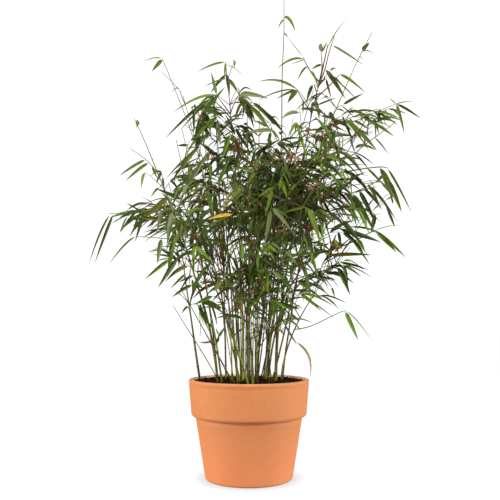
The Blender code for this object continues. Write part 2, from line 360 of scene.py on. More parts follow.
def potProfile():
    size = potSizes
    lip = size["lipRounding"]
    lipTop = size["height"] - lip
    bandFoot = size["height"] - size["bandHeight"]
    foot = size["bandFootRounding"]
    base = size["baseRounding"]
    inside = [(0.0, size["floor"]), (wallRadius(size["floor"]), size["floor"])]
    lipIn = arcPoints(size["rimRadius"] - size["wall"] + lip, lipTop, lip, 180, 90, 8)
    lipOut = arcPoints(size["rimRadius"] - lip, lipTop, lip, 90, 0, 8)
    groove = size["rimRadius"] - size["lipGroove"]
    lipOut.append((size["rimRadius"], size["height"] - size["lipDepth"]))
    lipOut.append((groove, size["height"] - size["lipDepth"] - size["crease"]))
    lipOut.append((groove, size["height"] - size["grooveFade"]))
    bandEnd = arcPoints(size["bandFootRadius"] - foot, bandFoot + foot, foot, 0, -90, 8)
    tucked = size["bodyTopRadius"] - size["neckDepth"]
    neck = [(tucked + size["crease"], bandFoot), (tucked, bandFoot - size["crease"]),
            (tucked, bandFoot - size["neckHeight"]),
            (size["bodyTopRadius"], bandFoot - size["neckFade"])]
    baseBend = arcPoints(size["baseRadius"] - base, base, base, -8, -90, 8)
    band = straightPoints(lipOut[-1], bandEnd[0], 12)
    body = straightPoints(neck[-1], baseBend[0], 20)
    rise = straightPoints(inside[-1], lipIn[0], 6)
    return inside + rise + lipIn + lipOut + band + bandEnd + neck + body + baseBend + [(0.0, 0.0)]


def makePot():
    profile = potProfile()
    steps = potSizes["steps"]
    corners = []
    rings = []
    for radius, height in profile:
        if radius == 0.0:
            rings.append([len(corners)] * steps)
            corners.append((0.0, 0.0, height))
            continue
        ring = []
        for step in range(steps):
            angle = 2.0 * math.pi * step / steps
            spot = Vector((math.cos(angle), math.sin(angle), height * 9.0))
            reach = radius + potSizes["wobble"] * noise.noise(spot * 1.4)
            ring.append(len(corners))
            corners.append((reach * math.cos(angle), reach * math.sin(angle), height))
        rings.append(ring)
    runs = [0.0]
    for (r0, z0), (r1, z1) in zip(profile, profile[1:]):
        runs.append(runs[-1] + math.hypot(r1 - r0, z1 - z0))
    faces = []
    spots = []
    for place in range(len(profile) - 1):
        low = 0.01 + 0.98 * runs[place] / runs[-1]
        high = 0.01 + 0.98 * runs[place + 1] / runs[-1]
        for step in range(steps):
            after = (step + 1) % steps
            left = 0.01 + 0.98 * step / steps
            right = 0.01 + 0.98 * (step + 1) / steps
            face = [rings[place][step], rings[place + 1][step],
                    rings[place + 1][after], rings[place][after]]
            spot = [(left, low), (left, high), (right, high), (right, low)]
            if rings[place][0] == rings[place][1]:
                face.pop(3)
                spot.pop(3)
            if rings[place + 1][0] == rings[place + 1][1]:
                face.pop(2)
                spot.pop(2)
            faces.append(tuple(face))
            spots += spot
    return corners, faces, spots


def terracottaPaint():
    paint = Paint("terracotta", (0.58, 0.188, 0.048), 0.72)
    spot = paint.objectSpot()
    cloud = paint.noise(spot, 9.0, 4.0)
    mottle = paint.noise(spot, 60.0, 5.0)
    grain = paint.noise(spot, 620.0, 2.0, 0.7)
    rings = paint.noise(paint.stretched(spot, (1.5, 1.5, 190.0)), 1.0, 2.0)
    warm = paint.blend(cloud.rise(0.35, 0.65), (0.60, 0.194, 0.049), (0.565, 0.183, 0.046))
    dusty = paint.blend(mottle.rise(0.42, 0.8) * 0.35, warm, (0.67, 0.265, 0.105))
    fleck = paint.blend(grain.rise(0.62, 0.78) * 0.25, dusty, (0.42, 0.13, 0.035))
    rise = paint.add("ShaderNodeSeparateXYZ", {}, {0: spot}, 2)
    # Painted light: towards the foot the clay is lighter and redder, as light bounced up off the floor
    # would make it, varied by the cloud noise.
    foot = (1.0 - rise.rise(0.0, 0.13)) * (0.40 + cloud * 0.5)
    floorBounceLit = paint.blend(foot, fleck, (0.84, 0.247, 0.080))
    x, y = [paint.add("ShaderNodeSeparateXYZ", {}, {0: spot}, out) for out in (0, 1)]
    # Painted highlight and painted light: the lip's top and the upper inner wall are paler, as the
    # front light falls on them.
    inner = (1.0 - ((x * x + y * y) ** 0.5).rise(0.1195, 0.1225)) * rise.rise(0.165, 0.175)
    paint.feed("Base Color", paint.blend(inner * 0.9, floorBounceLit, (0.98, 0.55, 0.33)))
    paint.feed("Roughness", 0.66 + mottle * 0.16)
    paint.bump(grain * 0.5 + rings * 0.5 + mottle * 0.6, 0.25, 0.0006)
    return paint


corners, faces, spots = makePot()
makePiece("pot_wall", corners, faces, {bakeMap: spots}, terracottaPaint(), ["pot"])
print("pot:", len(faces), "faces")


# Soil: a lumpy disc that tucks in at the wall, and loose crumbs on it.
soilSizes = {
    "drop": 0.0045, "lumps": 0.0018, "rings": 44, "steps": 120, "crumbs": 900,
    "smallest": 0.0008, "largest": 0.0030, "seed": 5, "wallGap": 0.0003, "skirt": 0.02,
    "lift": 0.0004, "sink": 0.0006, "coarse": 42.0, "fine": 150.0,
}
soilTop = potSizes["height"] - soilSizes["drop"]


def soilHeight(x, y):
    size = soilSizes
    coarse = noise.noise(Vector((x * size["coarse"], y * size["coarse"], 1.0)))
    fine = noise.noise(Vector((x * size["fine"], y * size["fine"], 6.0)))
    reach = math.hypot(x, y) / wallRadius(soilTop)
    lumps = size["lumps"] * (0.6 * coarse + 0.4 * fine)
    return soilTop + size["lift"] + lumps - size["sink"] * reach ** 4


def soilPaint():
    paint = Paint("dampSoil", (0.016, 0.009, 0.004), 0.95, Specular_IOR_Level=0.1)
    spot = paint.objectSpot()
    patch = paint.noise(spot, 55.0, 4.0)
    grain = paint.noise(spot, 420.0, 4.0, 0.7)
    dark = paint.blend(patch.rise(0.35, 0.7), (0.009, 0.005, 0.002), (0.026, 0.014, 0.006))
    chips = paint.blend(grain.rise(0.66, 0.72) * 0.7, dark, (0.09, 0.055, 0.030))
    paint.feed("Base Color", chips)
    paint.bump(grain + patch, 0.8, 0.0015)
    return paint


def makeSoil():
    steps = soilSizes["steps"]
    corners = [(0.0, 0.0, soilHeight(0.0, 0.0))]
    edge = wallRadius(soilTop) - soilSizes["wallGap"]
    skirtFoot = soilTop - soilSizes["skirt"]
    for ring in range(1, soilSizes["rings"] + 1):
        radius = edge * ring / soilSizes["rings"]
        for step in range(steps):
            angle = 2.0 * math.pi * step / steps
            x, y = radius * math.cos(angle), radius * math.sin(angle)
            corners.append((x, y, soilHeight(x, y)))
    for step in range(steps):
        angle = 2.0 * math.pi * step / steps
        radius = wallRadius(skirtFoot) - soilSizes["wallGap"]
        corners.append((radius * math.cos(angle), radius * math.sin(angle), skirtFoot))
    faces = [(0, 1 + step, 1 + (step + 1) % steps) for step in range(steps)]
    for ring in range(soilSizes["rings"]):
        for step in range(steps):
            low = 1 + ring * steps
            after = (step + 1) % steps
            faces.append((low + step, low + steps + step, low + steps + after, low + after))
    faces.append(tuple(1 + soilSizes["rings"] * steps + step for step in range(steps - 1, -1, -1)))
    return corners, faces


def flatSpots(corners, faces):
    scale = 0.49 / potSizes["rimRadius"]
    return [(0.5 + corners[corner][0] * scale, 0.5 + corners[corner][1] * scale)
            for face in faces for corner in face]


# A crumb is an eight-sided lump pulled out of shape.
def addLump(corners, faces, centre, size, chance):
    start = len(corners)
    for axis in ((1, 0, 0), (-1, 0, 0), (0, 1, 0), (0, -1, 0), (0, 0, 1), (0, 0, -1)):
        push = Vector([chance.uniform(-0.35, 0.35) for _ in range(3)])
        corner = Vector(centre) + (Vector(axis) + push) * size
        corners.append(tuple(corner))
    for a, b in ((0, 2), (2, 1), (1, 3), (3, 0)):
        faces.append((start + a, start + b, start + 4))
        faces.append((start + b, start + a, start + 5))


def makeCrumbs():
    chance = random.Random(soilSizes["seed"])
    corners, faces = [], []
    for _ in range(soilSizes["crumbs"]):
        radius = (wallRadius(soilTop) - 0.004) * math.sqrt(chance.random())
        angle = chance.uniform(0.0, 2.0 * math.pi)
        x, y = radius * math.cos(angle), radius * math.sin(angle)
        size = chance.uniform(soilSizes["smallest"], soilSizes["largest"])
        addLump(corners, faces, (x, y, soilHeight(x, y) + size * 0.2), size, chance)
    return corners, faces


earth = soilPaint()
corners, faces = makeSoil()
makePiece("soil_bed", corners, faces, {bakeMap: flatSpots(corners, faces)}, earth, ["soil"])
corners, faces = makeCrumbs()
makePiece("soil_crumbs", corners, faces, {bakeMap: flatSpots(corners, faces)}, earth, ["soil"],
          smooth=False)
print("soil:", len(faces), "crumb faces")


# Culms: foot x, foot y, tip x, tip y, tip height, arch, foot radius, and a hue that runs from 0,
# brown, through dull green to 1, yellow green.
culmSizes = {
    "leader_top": (0.0527, -0.030, 0.076, -0.045, 1.018, 0.85, 0.0021, 0.48),
    "leader_right": (0.0374, 0.022, 0.181, 0.050, 0.950, 1.27, 0.0029, 0.60),
    "leader_far_right": (0.0566, -0.008, 0.268, -0.029, 0.944, 1.86, 0.0025, 0.56),
    "leader_left": (-0.0655, -0.012, -0.245, -0.039, 0.749, 1.42, 0.0027, 0.59),
    "leader_upper_left": (-0.0491, 0.026, -0.151, 0.055, 0.832, 1.81, 0.0018, 0.50),
    "leader_thin_left": (-0.0344, -0.040, -0.178, -0.100, 0.854, 2.05, 0.0015, 0.91),
    "leader_middle": (-0.0120, 0.004, -0.052, 0.010, 0.893, 1.85, 0.0031, 0.81),
    "leader_back": (0.0164, 0.047, 0.026, 0.175, 0.860, 1.18, 0.0023, 0.76),
    "leader_front": (0.0013, -0.042, -0.004, -0.165, 0.740, 1.45, 0.0025, 0.52),
    "side_left": (-0.1034, 0.012, -0.159, 0.020, 0.560, 0.97, 0.0025, 0.62),
    "side_crossing": (-0.0602, -0.050, -0.153, -0.068, 0.350, 1.10, 0.0011, 0.51),
    "side_leaning": (-0.0318, -0.066, -0.137, -0.078, 0.385, 1.04, 0.0018, 0.51),
    "side_right": (0.0688, 0.020, 0.222, 0.032, 0.480, 1.68, 0.0019, 0.70),
    "inner_01": (-0.0505, 0.048, -0.079, 0.085, 0.800, 1.51, 0.0018, 0.37),
    "inner_02": (-0.0187, -0.024, -0.142, -0.055, 0.721, 1.04, 0.0017, 0.69),
    "inner_03": (-0.0012, -0.088, -0.141, -0.166, 0.581, 1.10, 0.0019, 0.85),
    "inner_04": (-0.0137, 0.024, -0.080, 0.060, 0.800, 0.96, 0.0019, 0.22),
    "inner_05": (0.0083, -0.069, -0.110, -0.133, 0.683, 1.77, 0.0022, 0.56),
    "inner_06": (0.0171, -0.012, 0.137, -0.040, 0.810, 1.51, 0.0021, 0.47),
    "inner_07": (0.0315, 0.048, 0.104, 0.120, 0.800, 1.01, 0.0020, 0.42),
    "inner_08": (0.0391, -0.056, 0.246, -0.110, 0.740, 1.59, 0.0021, 0.43),
    "inner_09": (0.0502, 0.012, 0.179, 0.030, 0.700, 1.01, 0.0021, 0.51),
    "inner_10": (-0.0276, 0.074, -0.116, 0.200, 0.780, 1.28, 0.0016, 0.66),
    "inner_11": (0.0350, 0.082, 0.083, 0.220, 0.740, 1.18, 0.0015, 0.46),
    "inner_12": (-0.0689, 0.045, -0.157, 0.148, 0.676, 1.33, 0.0022, 0.48),
    "inner_13": (-0.0546, -0.048, -0.140, -0.161, 0.665, 1.12, 0.0020, 0.60),
    "inner_14": (0.0736, 0.056, 0.176, 0.170, 0.700, 1.24, 0.0020, 0.42),
}
clumpSizes = {
    "tipRadius": 0.0006, "footInternode": 0.036, "midInternode": 0.085, "tipInternode": 0.045,
    "nodeSwell": 0.30, "nodeLength": 0.0015, "sway": 0.0018, "sides": 10, "ringGap": 0.014,
    "seed": 11, "hueChange": 0.22, "sunk": 0.004, "firstNode": (0.012, 0.02), "lastGap": 0.03,
    "longest": 0.35,
    "browner": {"leader_top": (0.56, 0.74, 0.35), "leader_far_right": (0.56, 0.74, 0.1),
                "leader_middle": (0.60, 0.74, 0.9), "leader_left": (0.50, 0.70, 0.3),
                "inner_03": (0.26, 0.32, 0.65)},
}
culmFoot = soilTop - clumpSizes["sunk"]


def culmPoint(size, height):
    rise = max((height - soilTop) / (size[4] - soilTop), 0.0)
    travel = rise ** size[5]
    return Vector((size[0] + (size[2] - size[0]) * travel,
                   size[1] + (size[3] - size[1]) * travel, height))


def culmRadius(size, height):
    rise = min(max((height - soilTop) / (size[4] - soilTop), 0.0), 1.0)
    return size[6] + (clumpSizes["tipRadius"] - size[6]) * rise


# Internodes are short at the foot, longest in the middle and short again at the tip.
def nodeHeights(size, chance):
    heights = []
    lowest, spread = clumpSizes["firstNode"]
    height = soilTop + lowest + spread * chance.random()
    longest = clumpSizes["longest"]
    top = size[4]
    while height < top - clumpSizes["lastGap"]:
        heights.append(height)
        rise = (height - soilTop) / (top - soilTop)
        if rise < longest:
            share = rise / longest
            gap = clumpSizes["footInternode"] * (1.0 - share) + clumpSizes["midInternode"] * share
        else:
            share = (rise - longest) / (1.0 - longest)
            gap = clumpSizes["midInternode"] * (1.0 - share) + clumpSizes["tipInternode"] * share
        height += gap * chance.uniform(0.88, 1.12)
    return heights


def culmRings(heights, top):
    rings = {culmFoot, top}
    for height in heights:
        for step in (-2.0, -1.0, -0.4, 0.0, 0.4, 1.0, 2.0):
            rings.add(height + step * clumpSizes["nodeLength"])
    spread = sorted(rings)
    for low, high in zip(spread, spread[1:]):
        extra = int((high - low) / clumpSizes["ringGap"])
        for step in range(1, extra + 1):
            rings.add(low + (high - low) * step / (extra + 1))
    return [height for height in sorted(rings) if culmFoot <= height <= top]


culms = []
for index, (name, size) in enumerate(culmSizes.items()):
    chance = random.Random(clumpSizes["seed"] + index)
    culms.append({"name": name, "size": size, "nodes": nodeHeights(size, chance),
                  "hue": size[7], "wave": chance.random() * 90.0})


namedCulms = {culm["name"]: culm for culm in culms}


def culmSpot(culm, height):
    spot = culmPoint(culm["size"], height)
    wave = noise.noise_vector(Vector((culm["wave"], 3.0, height * 9.0)))
    free = min((height - soilTop) / 0.1, 1.0) if height > soilTop else 0.0
    return spot + Vector((wave.x, wave.y, 0.0)) * clumpSizes["sway"] * free


def culmThickness(culm, height):
    radius = culmRadius(culm["size"], height)
    near = min(abs(height - node) for node in culm["nodes"])
    swell = math.exp(-(near / clumpSizes["nodeLength"]) ** 2)
    return radius * (1.0 + clumpSizes["nodeSwell"] * swell)


# How far up its internode a height is, from 0 just above one node to 1 just under the next.
def internodePlace(culm, height):
    below = [node for node in culm["nodes"] if node <= height]
    above = [node for node in culm["nodes"] if node > height]
    low = below[-1] if below else culmFoot
    high = above[0] if above else culm["size"][4]
    return (height - low) / max(high - low, 1e-6)


# Internodes differ in hue, and most canes turn brown towards their tops.
def hueAt(culm, height):
    low, high, share = clumpSizes["browner"].get(culm["name"], (0.56, 0.74, 0.45))
    rise = min(max((height - low) / (high - low), 0.0), 1.0)
    below = sum(node <= height for node in culm["nodes"])
    varied = 1.0 + clumpSizes["hueChange"] * math.sin(below * 2.4 + culm["wave"])
    return culm["hue"] * varied * (1.0 - share * rise)


def culmPaint():
    paint = Paint("culmBark", (0.16, 0.15, 0.06), 0.42, Specular_IOR_Level=0.15,
                  Specular_Tint=(1.0, 0.95, 0.40, 1.0))
    place, hue = paint.mapAxes("culmMap")
    spot = paint.objectSpot()
    patch = paint.noise(paint.stretched(spot, (1.0, 1.0, 0.35)), 34.0, 3.0)
    streak = paint.noise(paint.stretched(spot, (1.0, 1.0, 0.03)), 900.0, 2.0)
    fresh = paint.blend(hue.rise(0.35, 1.0), (0.022, 0.034, 0.004), (0.285, 0.300, 0.055))
    brown = (patch - hue * 0.42).rise(0.22, 0.38)
    old = paint.blend(patch.rise(0.52, 0.66) * 0.5, (0.017, 0.010, 0.004), (0.150, 0.060, 0.022))
    coat = paint.blend(brown, fresh, old)
    streaked = paint.blend(streak.rise(0.45, 0.8) * 0.25, coat, (0.30, 0.25, 0.10))
    bloom = (1.0 - place.rise(0.0, 0.10)) * 0.45
    pale = paint.blend(bloom, streaked, (0.36, 0.33, 0.20))
    scar = place.rise(0.90, 0.97)
    ringed = paint.blend(scar * 0.85, pale, (0.022, 0.013, 0.007))
    paint.feed("Base Color", ringed)
    paint.feed("Roughness", 0.38 + streak * 0.25)
    paint.bump(streak, 0.15, 0.0003)
    return paint


def makeCulms(paint):
    tubes = TubeSet(clumpSizes["sides"], strips=len(culms))
    for strip, culm in enumerate(culms):
        rings = culmRings(culm["nodes"], culm["size"][4])
        points = [culmSpot(culm, height) for height in rings]
        radii = [culmThickness(culm, height) for height in rings]
        looks = [(internodePlace(culm, height), hueAt(culm, height)) for height in rings]
        tubes.add(points, radii, strip, looks)
    makePiece("culm_canes", tubes.corners, tubes.faces,
              {bakeMap: tubes.bakeSpots, "culmMap": tubes.lookSpots}, paint, culmNodes)
    return len(tubes.faces)


caneFinish = culmPaint()
print("culms:", makeCulms(caneFinish), "faces")


# Thin shoots, each grown from its own seed: from a cane's low node, or from the soil between them.
shootSizes = {
    "lowest": 0.205, "highest": 0.430, "lean": (3.0, 52.0), "length": (0.05, 0.17),
    "radius": (0.0008, 0.0015), "tipRadius": 0.0007, "sides": 6, "internode": 0.030,
    "straighten": (0.0, 0.6), "leafShare": 0.5, "steps": 22, "middle": -0.002, "spread": 0.050,
    "fromSoil": 0.35, "soilX": (-0.062, 0.070), "soilY": (-0.080, 0.060), "soilFan": 1.2,
    "soilLean": (0.0, 16.0), "soilLength": (0.08, 0.24), "brightest": 0.65,
    "seeds": (105, 153, 342, 403, 881, 941, 1038, 1040, 1139, 1233, 1333, 1356, 1420, 1567, 1669,
              1708, 1957, 1969, 2191, 2201, 2298, 2917, 3033, 3152, 3253, 3670, 3759, 3806, 3821,
              3842, 3908, 4125, 4221, 4374, 4620, 4677, 4741, 6060, 6527, 8260, 8621, 12518,
              13153, 14209, 14329, 15430, 15697, 17089, 17650, 18609, 18746, 19113, 20399, 21245,
              21556, 22060, 22283, 22636, 22751, 23376, 23546, 23656, 23822, 24254, 24350, 24963),
}


def shootNodes():
    nodes, weights = [], []
    for culm in culms:
        for height in culm["nodes"]:
            if shootSizes["lowest"] < height < shootSizes["highest"]:
                spot = culmSpot(culm, height)
                nodes.append((spot, (culmSpot(culm, height + 0.01) - spot).normalized()))
                aside = (spot.x - shootSizes["middle"]) / shootSizes["spread"]
                weights.append(math.exp(-aside ** 2))
    return nodes, weights


def growShoot(seed, nodes, weights):
    chance = random.Random(seed)
    if chance.random() < shootSizes["fromSoil"]:
        x = chance.uniform(*shootSizes["soilX"])
        foot = Vector((x, chance.uniform(*shootSizes["soilY"]), culmFoot))
        up = Vector((foot.x * shootSizes["soilFan"], foot.y * 0.6, 1.0)).normalized()
        lean = math.radians(chance.uniform(*shootSizes["soilLean"]))
        length = chance.uniform(*shootSizes["soilLength"])
    else:
        foot, up = chance.choices(nodes, weights)[0]
        lean = math.radians(chance.uniform(*shootSizes["lean"]))
        length = chance.uniform(*shootSizes["length"])
    bearing = chance.uniform(0.0, 2.0 * math.pi)
    side = Vector((math.cos(bearing), math.sin(bearing), 0.0))
    way = (up * math.cos(lean) + side * math.sin(lean)).normalized()
    later = (way + Vector((0, 0, chance.uniform(*shootSizes["straighten"])))).normalized()
    points = curvePoints(foot, foot + way * length * 0.35, foot + (way + later) * length * 0.35,
                         foot + (way + later) * length * 0.5, shootSizes["steps"])
    radius = chance.uniform(*shootSizes["radius"])
    hue = chance.random() ** 1.6 * shootSizes["brightest"]
    radii, looks = [], []
    for step in range(len(points)):
        share = step / shootSizes["steps"]
        joint = (share * length / shootSizes["internode"]) % 1.0
        swell = 1.0 + 0.35 * math.exp(-(min(joint, 1.0 - joint) * 9.0) ** 2)
        radii.append((radius + (shootSizes["tipRadius"] - radius) * share) * swell)
        looks.append((joint, hue))
    return points, radii, looks


def makeShoots():
    nodes, weights = shootNodes()
    tubes = TubeSet(shootSizes["sides"], strips=len(shootSizes["seeds"]))
    shoots = []
    for strip, seed in enumerate(shootSizes["seeds"]):
        points, radii, looks = growShoot(seed, nodes, weights)
        tubes.add(points, radii, strip, looks)
        shoots.append(points)
    makePiece("culm_shoots", tubes.corners, tubes.faces,
              {bakeMap: tubes.bakeSpots, "culmMap": tubes.lookSpots}, caneFinish, culmNodes)
    print("shoots:", len(tubes.faces), "faces")
    return shoots


# The crown. Each row is a mass: centre, half sizes, lean about Y, its number of branches, its seed.
crownMasses = {
    "top_left": ((-0.061, 0.000, 0.758), (0.078, 0.105, 0.137), 0, 5, 4460),
    "top_right": ((0.152, 0.015, 0.765), (0.058, 0.092, 0.133), 12, 5, 7468),
    "top_middle": ((0.027, 0.105, 0.706), (0.113, 0.115, 0.126), 0, 1, 1898),
    "top_front": ((0.095, -0.115, 0.673), (0.098, 0.105, 0.078), 0, 3, 3113),
    "shoulder_right": ((0.257, 0.010, 0.764), (0.130, 0.085, 0.059), -12, 4, 1946),
    "right": ((0.213, -0.020, 0.555), (0.112, 0.140, 0.132), 0, 7, 520),
    "right_drooping": ((0.290, -0.050, 0.558), (0.038, 0.065, 0.114), -18, 1, 5058),
    "shoulder_left": ((-0.252, -0.020, 0.602), (0.075, 0.090, 0.050), 20, 1, 1477),
    "left": ((-0.193, 0.010, 0.526), (0.150, 0.150, 0.111), 0, 2, 1736),
    "left_drooping": ((-0.240, -0.010, 0.530), (0.037, 0.070, 0.048), 35, 1, 1083),
    "left_back": ((-0.090, 0.155, 0.585), (0.133, 0.120, 0.164), 0, 9, 2161),
    "middle_front": ((-0.068, -0.170, 0.522), (0.149, 0.120, 0.160), 0, 1, 4663),
    "middle_back": ((0.089, 0.180, 0.570), (0.118, 0.120, 0.108), 0, 40, 240),
    "core": ((0.059, 0.000, 0.609), (0.106, 0.110, 0.113), 0, 29, 1392),
    "lower_front": ((0.052, -0.130, 0.412), (0.117, 0.125, 0.130), 0, 10, 4287),
    "lower_back": ((-0.046, 0.140, 0.371), (0.191, 0.125, 0.105), 0, 4, 2156),
    "lower_left": ((-0.070, -0.030, 0.386), (0.063, 0.125, 0.092), 0, 1, 2759),
    "lower_right": ((0.161, 0.020, 0.375), (0.120, 0.125, 0.094), 0, 2, 4586),
    "low_spray": ((0.197, -0.010, 0.361), (0.029, 0.050, 0.040), 25, 0, 2602),
}
branchSizes = {
    "fill": 0.86, "lift": 0.42, "reach": 0.30, "steps": 9, "sides": 5,
    "footRadius": 0.00115, "tipRadius": 0.00058, "sideTwigs": (4, 7),
    "sideLength": (0.018, 0.062), "sideSpread": (22.0, 60.0), "sideStart": 0.30,
    "lowestBranch": 0.285, "nodeUse": 0.05, "steepness": 0.55, "shortfall": 1.6, "dullBelow": 0.40,
}
# Short twigs at the culms' own nodes, above a height.
clusterSizes = {
    "seed": 501, "lowest": 0.34, "twigs": (1, 4), "length": (0.016, 0.060), "spread": (22.0, 55.0),
    "footRadius": 0.0009, "tipRadius": 0.00045,
}
loneSizes = {"seed": 71, "steps": 4, "footRadius": 0.0012, "tipRadius": 0.0006, "tilt": 0.35,
             "twist": 0.3, "stout": {"leader_right": 1.5, "leader_middle": 1.25}}
leafSizes = {
    "length": (0.040, 0.088), "slimness": (0.105, 0.150), "perSpray": (2, 4), "sideSpray": (1, 3),
    "spread": (14.0, 68.0), "droop": (0.0, 1.7), "fold": (0.25, 0.65), "twist": 0.8,
    "edge": (0.80, 1.06), "thickness": 0.00028, "variants": 4, "stripShare": 0.24,
}
# Tints dealt out by spray: top colour, underside colour and share.
leafTints = {
    "Deep": ((0.018, 0.034, 0.006), (0.032, 0.050, 0.014), 0.20),
    "Dark": ((0.034, 0.058, 0.009), (0.052, 0.076, 0.022), 0.29),
    "Mid": ((0.075, 0.118, 0.014), (0.085, 0.118, 0.035), 0.24),
    # The next tint is partly a grey-green leaf colour and partly painted sheen, for leaves that catch
    # the light.
    "Grey": ((0.110, 0.140, 0.055), (0.140, 0.170, 0.085), 0.08),
    "Fresh": ((0.105, 0.195, 0.016), (0.110, 0.180, 0.036), 0.12),
    "Olive": ((0.130, 0.125, 0.020), (0.140, 0.145, 0.045), 0.06),
    "Yellow": ((0.520, 0.300, 0.035), (0.500, 0.340, 0.090), 0.0),
    "Straw": ((0.330, 0.220, 0.095), (0.370, 0.270, 0.140), 0.004),
    "Sheath": ((0.200, 0.090, 0.045), (0.300, 0.170, 0.095), 0.0),
    "Burgundy": ((0.060, 0.010, 0.005), (0.120, 0.022, 0.012), 0.0),
}
tintNames = list(leafTints)
tintShares = [leafTints[name][2] for name in tintNames]
leafRings = (0.0, 0.05, 0.10, 0.19, 0.31, 0.45, 0.60, 0.76, 0.90, 1.0)
leafOutline = (0.085, 0.095, 0.52, 0.90, 1.0, 0.97, 0.84, 0.60, 0.29, 0.015)


# Every leaf is kept as its stalk, its bend, its tip, the way its face looks, and its sizes.
class Crown:
    def __init__(self):
        self.leaves = {name: [] for name in tintNames}
        self.twigs = TubeSet(branchSizes["sides"], strips=2, stripWidth=0.12)
        self.chance = random.Random(0)

    def between(self, pair):
        return self.chance.uniform(*pair)

    def addLeaf(self, tint, stalk, bend, tip, face, width, twist=leafSizes["twist"]):
        self.leaves[tint].append({
            "stalk": stalk, "bend": bend, "tip": tip, "face": face, "width": width,
            "fold": self.between(leafSizes["fold"]),
            "twist": self.chance.uniform(-1.0, 1.0) * twist,
            "variant": self.chance.randrange(leafSizes["variants"])})

    def pickTint(self):
        return self.chance.choices(tintNames, tintShares)[0]

    def addTwig(self, points, footRadius, tipRadius):
        count = len(points) - 1
        radii = [footRadius + (tipRadius - footRadius) * step / count for step in range(count + 1)]
        dull = points[0].z + 0.05 * math.sin(points[0].x * 977.0) < branchSizes["dullBelow"]
        self.twigs.add(points, radii, int(dull))

    # Leaves fan out to both sides of a twig's end, and hang.
    def spray(self, points, outward, counts, tint=None):
        chance = self.chance
        tint = tint or self.pickTint()
        count = chance.randint(*counts)
        along = (points[-1] - points[-2]).normalized()
        flat = (Vector((0, 0, 1)) + outward * 0.4 + randomWay(chance) * 0.8).normalized()
        flat = (flat - along * flat.dot(along)).normalized()
        hand = chance.choice((-1, 1))
        length = self.between(leafSizes["length"])
        edge = self.between(leafSizes["edge"])
        for index in range(count):
            back = (count - 1 - index) / count
            place = pointAlong(points, 1.0 - 0.5 * back)
            spread = math.radians(self.between(leafSizes["spread"])) * (1.0 if back else 0.4)
            way = Matrix.Rotation(spread * hand, 3, flat) @ along
            hand = -hand
            size = length * (1.0 - 0.30 * back) * chance.uniform(0.8, 1.15)
            width = size * self.between(leafSizes["slimness"])
            droop = self.between(leafSizes["droop"])
            roll = randomWay(chance)
            for attempt in range(5):
                way = (way + Vector((0, 0, -0.25 * droop))).normalized()
                fallen = (way + Vector((0, 0, -droop)) + outward * 0.10).normalized()
                bend = place + way * size * 0.40
                end = bend + fallen * size * 0.60
                if insideCrown(end, edge):
                    face = (flat * 0.5 + outward * 0.4 + roll * 1.1).normalized()
                    self.addLeaf(tint, place, bend, end, face, width)
                    break
                size *= 0.90
                way = (way - outward * 0.3 + Vector((0, 0, -0.2))).normalized()

    def branch(self, foot, footWay, target, outward):
        chance = self.chance
        span = (target - foot).length
        direct = (target - foot).normalized()
        rise = (footWay * 0.6 + direct * 0.8 + Vector((0, 0, 0.25))).normalized()
        ending = (outward * 0.7 + direct * 0.7 + randomWay(chance) * 0.3).normalized()
        near = foot + rise * span * branchSizes["lift"]
        far = target - ending * span * branchSizes["reach"]
        points = curvePoints(foot, near, far, target, branchSizes["steps"])
        thick = branchSizes["footRadius"] * min(1.0, 0.6 + span * 2.0)
        self.addTwig(points, thick, branchSizes["tipRadius"])
        self.spray(points, outward, leafSizes["perSpray"])
        hand = chance.choice((-1, 1))
        sprays = chance.randint(*branchSizes["sideTwigs"])
        for index in range(sprays):
            share = 0.96 - (1.0 - branchSizes["sideStart"]) * (index + chance.random()) / sprays
            start = pointAlong(points, share)
            way = (pointAlong(points, min(share + 0.1, 1.0)) - start).normalized()
            spread = math.radians(self.between(branchSizes["sideSpread"])) * hand
            hand = -hand
            axis = (Vector((0, 0, 1)) + randomWay(chance) * 1.2).normalized()
            way = (Matrix.Rotation(spread, 3, axis) @ way + Vector((0, 0, 0.15))).normalized()
            self.sideTwig(start, way, outward, self.between(branchSizes["sideLength"]),
                          branchSizes["tipRadius"] * 1.35, branchSizes["tipRadius"])

    def sideTwig(self, start, way, outward, length, footRadius, tipRadius):
        sag = Vector((0, 0, -0.18)) + outward * 0.12
        end = start + (way + sag * 0.5) * length
        side = curvePoints(start, start + way * length * 0.35, start + way * length * 0.7, end, 4)
        self.addTwig(side, footRadius, tipRadius)
        self.spray(side, (outward + way * 0.5).normalized(), leafSizes["sideSpray"])


# Whether a place is within any of the crown's masses, each grown by a share.
def insideCrown(place, share):
    for centre, half, lean, _, _ in crownMasses.values():
        local = Matrix.Rotation(math.radians(-lean), 3, "Y") @ (place - Vector(centre))
        if sum((local[axis] / half[axis]) ** 2 for axis in range(3)) < share * share:
            return True
    return False


def randomWay(chance):
    while True:
        way = Vector([chance.uniform(-1.0, 1.0) for _ in range(3)])
        if 0.05 < way.length < 1.0:
            return way.normalized()


def curvePoints(a, b, c, d, steps):
    points = []
    for step in range(steps + 1):
        t = step / steps
        s = 1.0 - t
        points.append(a * s ** 3 + b * 3 * s * s * t + c * 3 * s * t * t + d * t ** 3)
    return points


def pointAlong(points, share):
    place = min(max(share, 0.0), 1.0) * (len(points) - 1)
    index = min(int(place), len(points) - 2)
    return points[index].lerp(points[index + 1], place - index)


# Places on the culms that branches may leave from, each with the culm's own direction there.
def branchFeet():
    feet = []
    for culm in culms:
        for height in culm["nodes"]:
            if height > branchSizes["lowestBranch"]:
                spot = culmSpot(culm, height)
                way = (culmSpot(culm, height + 0.01) - culmSpot(culm, height - 0.01)).normalized()
                feet.append({"spot": spot, "way": way, "used": 0})
    return feet


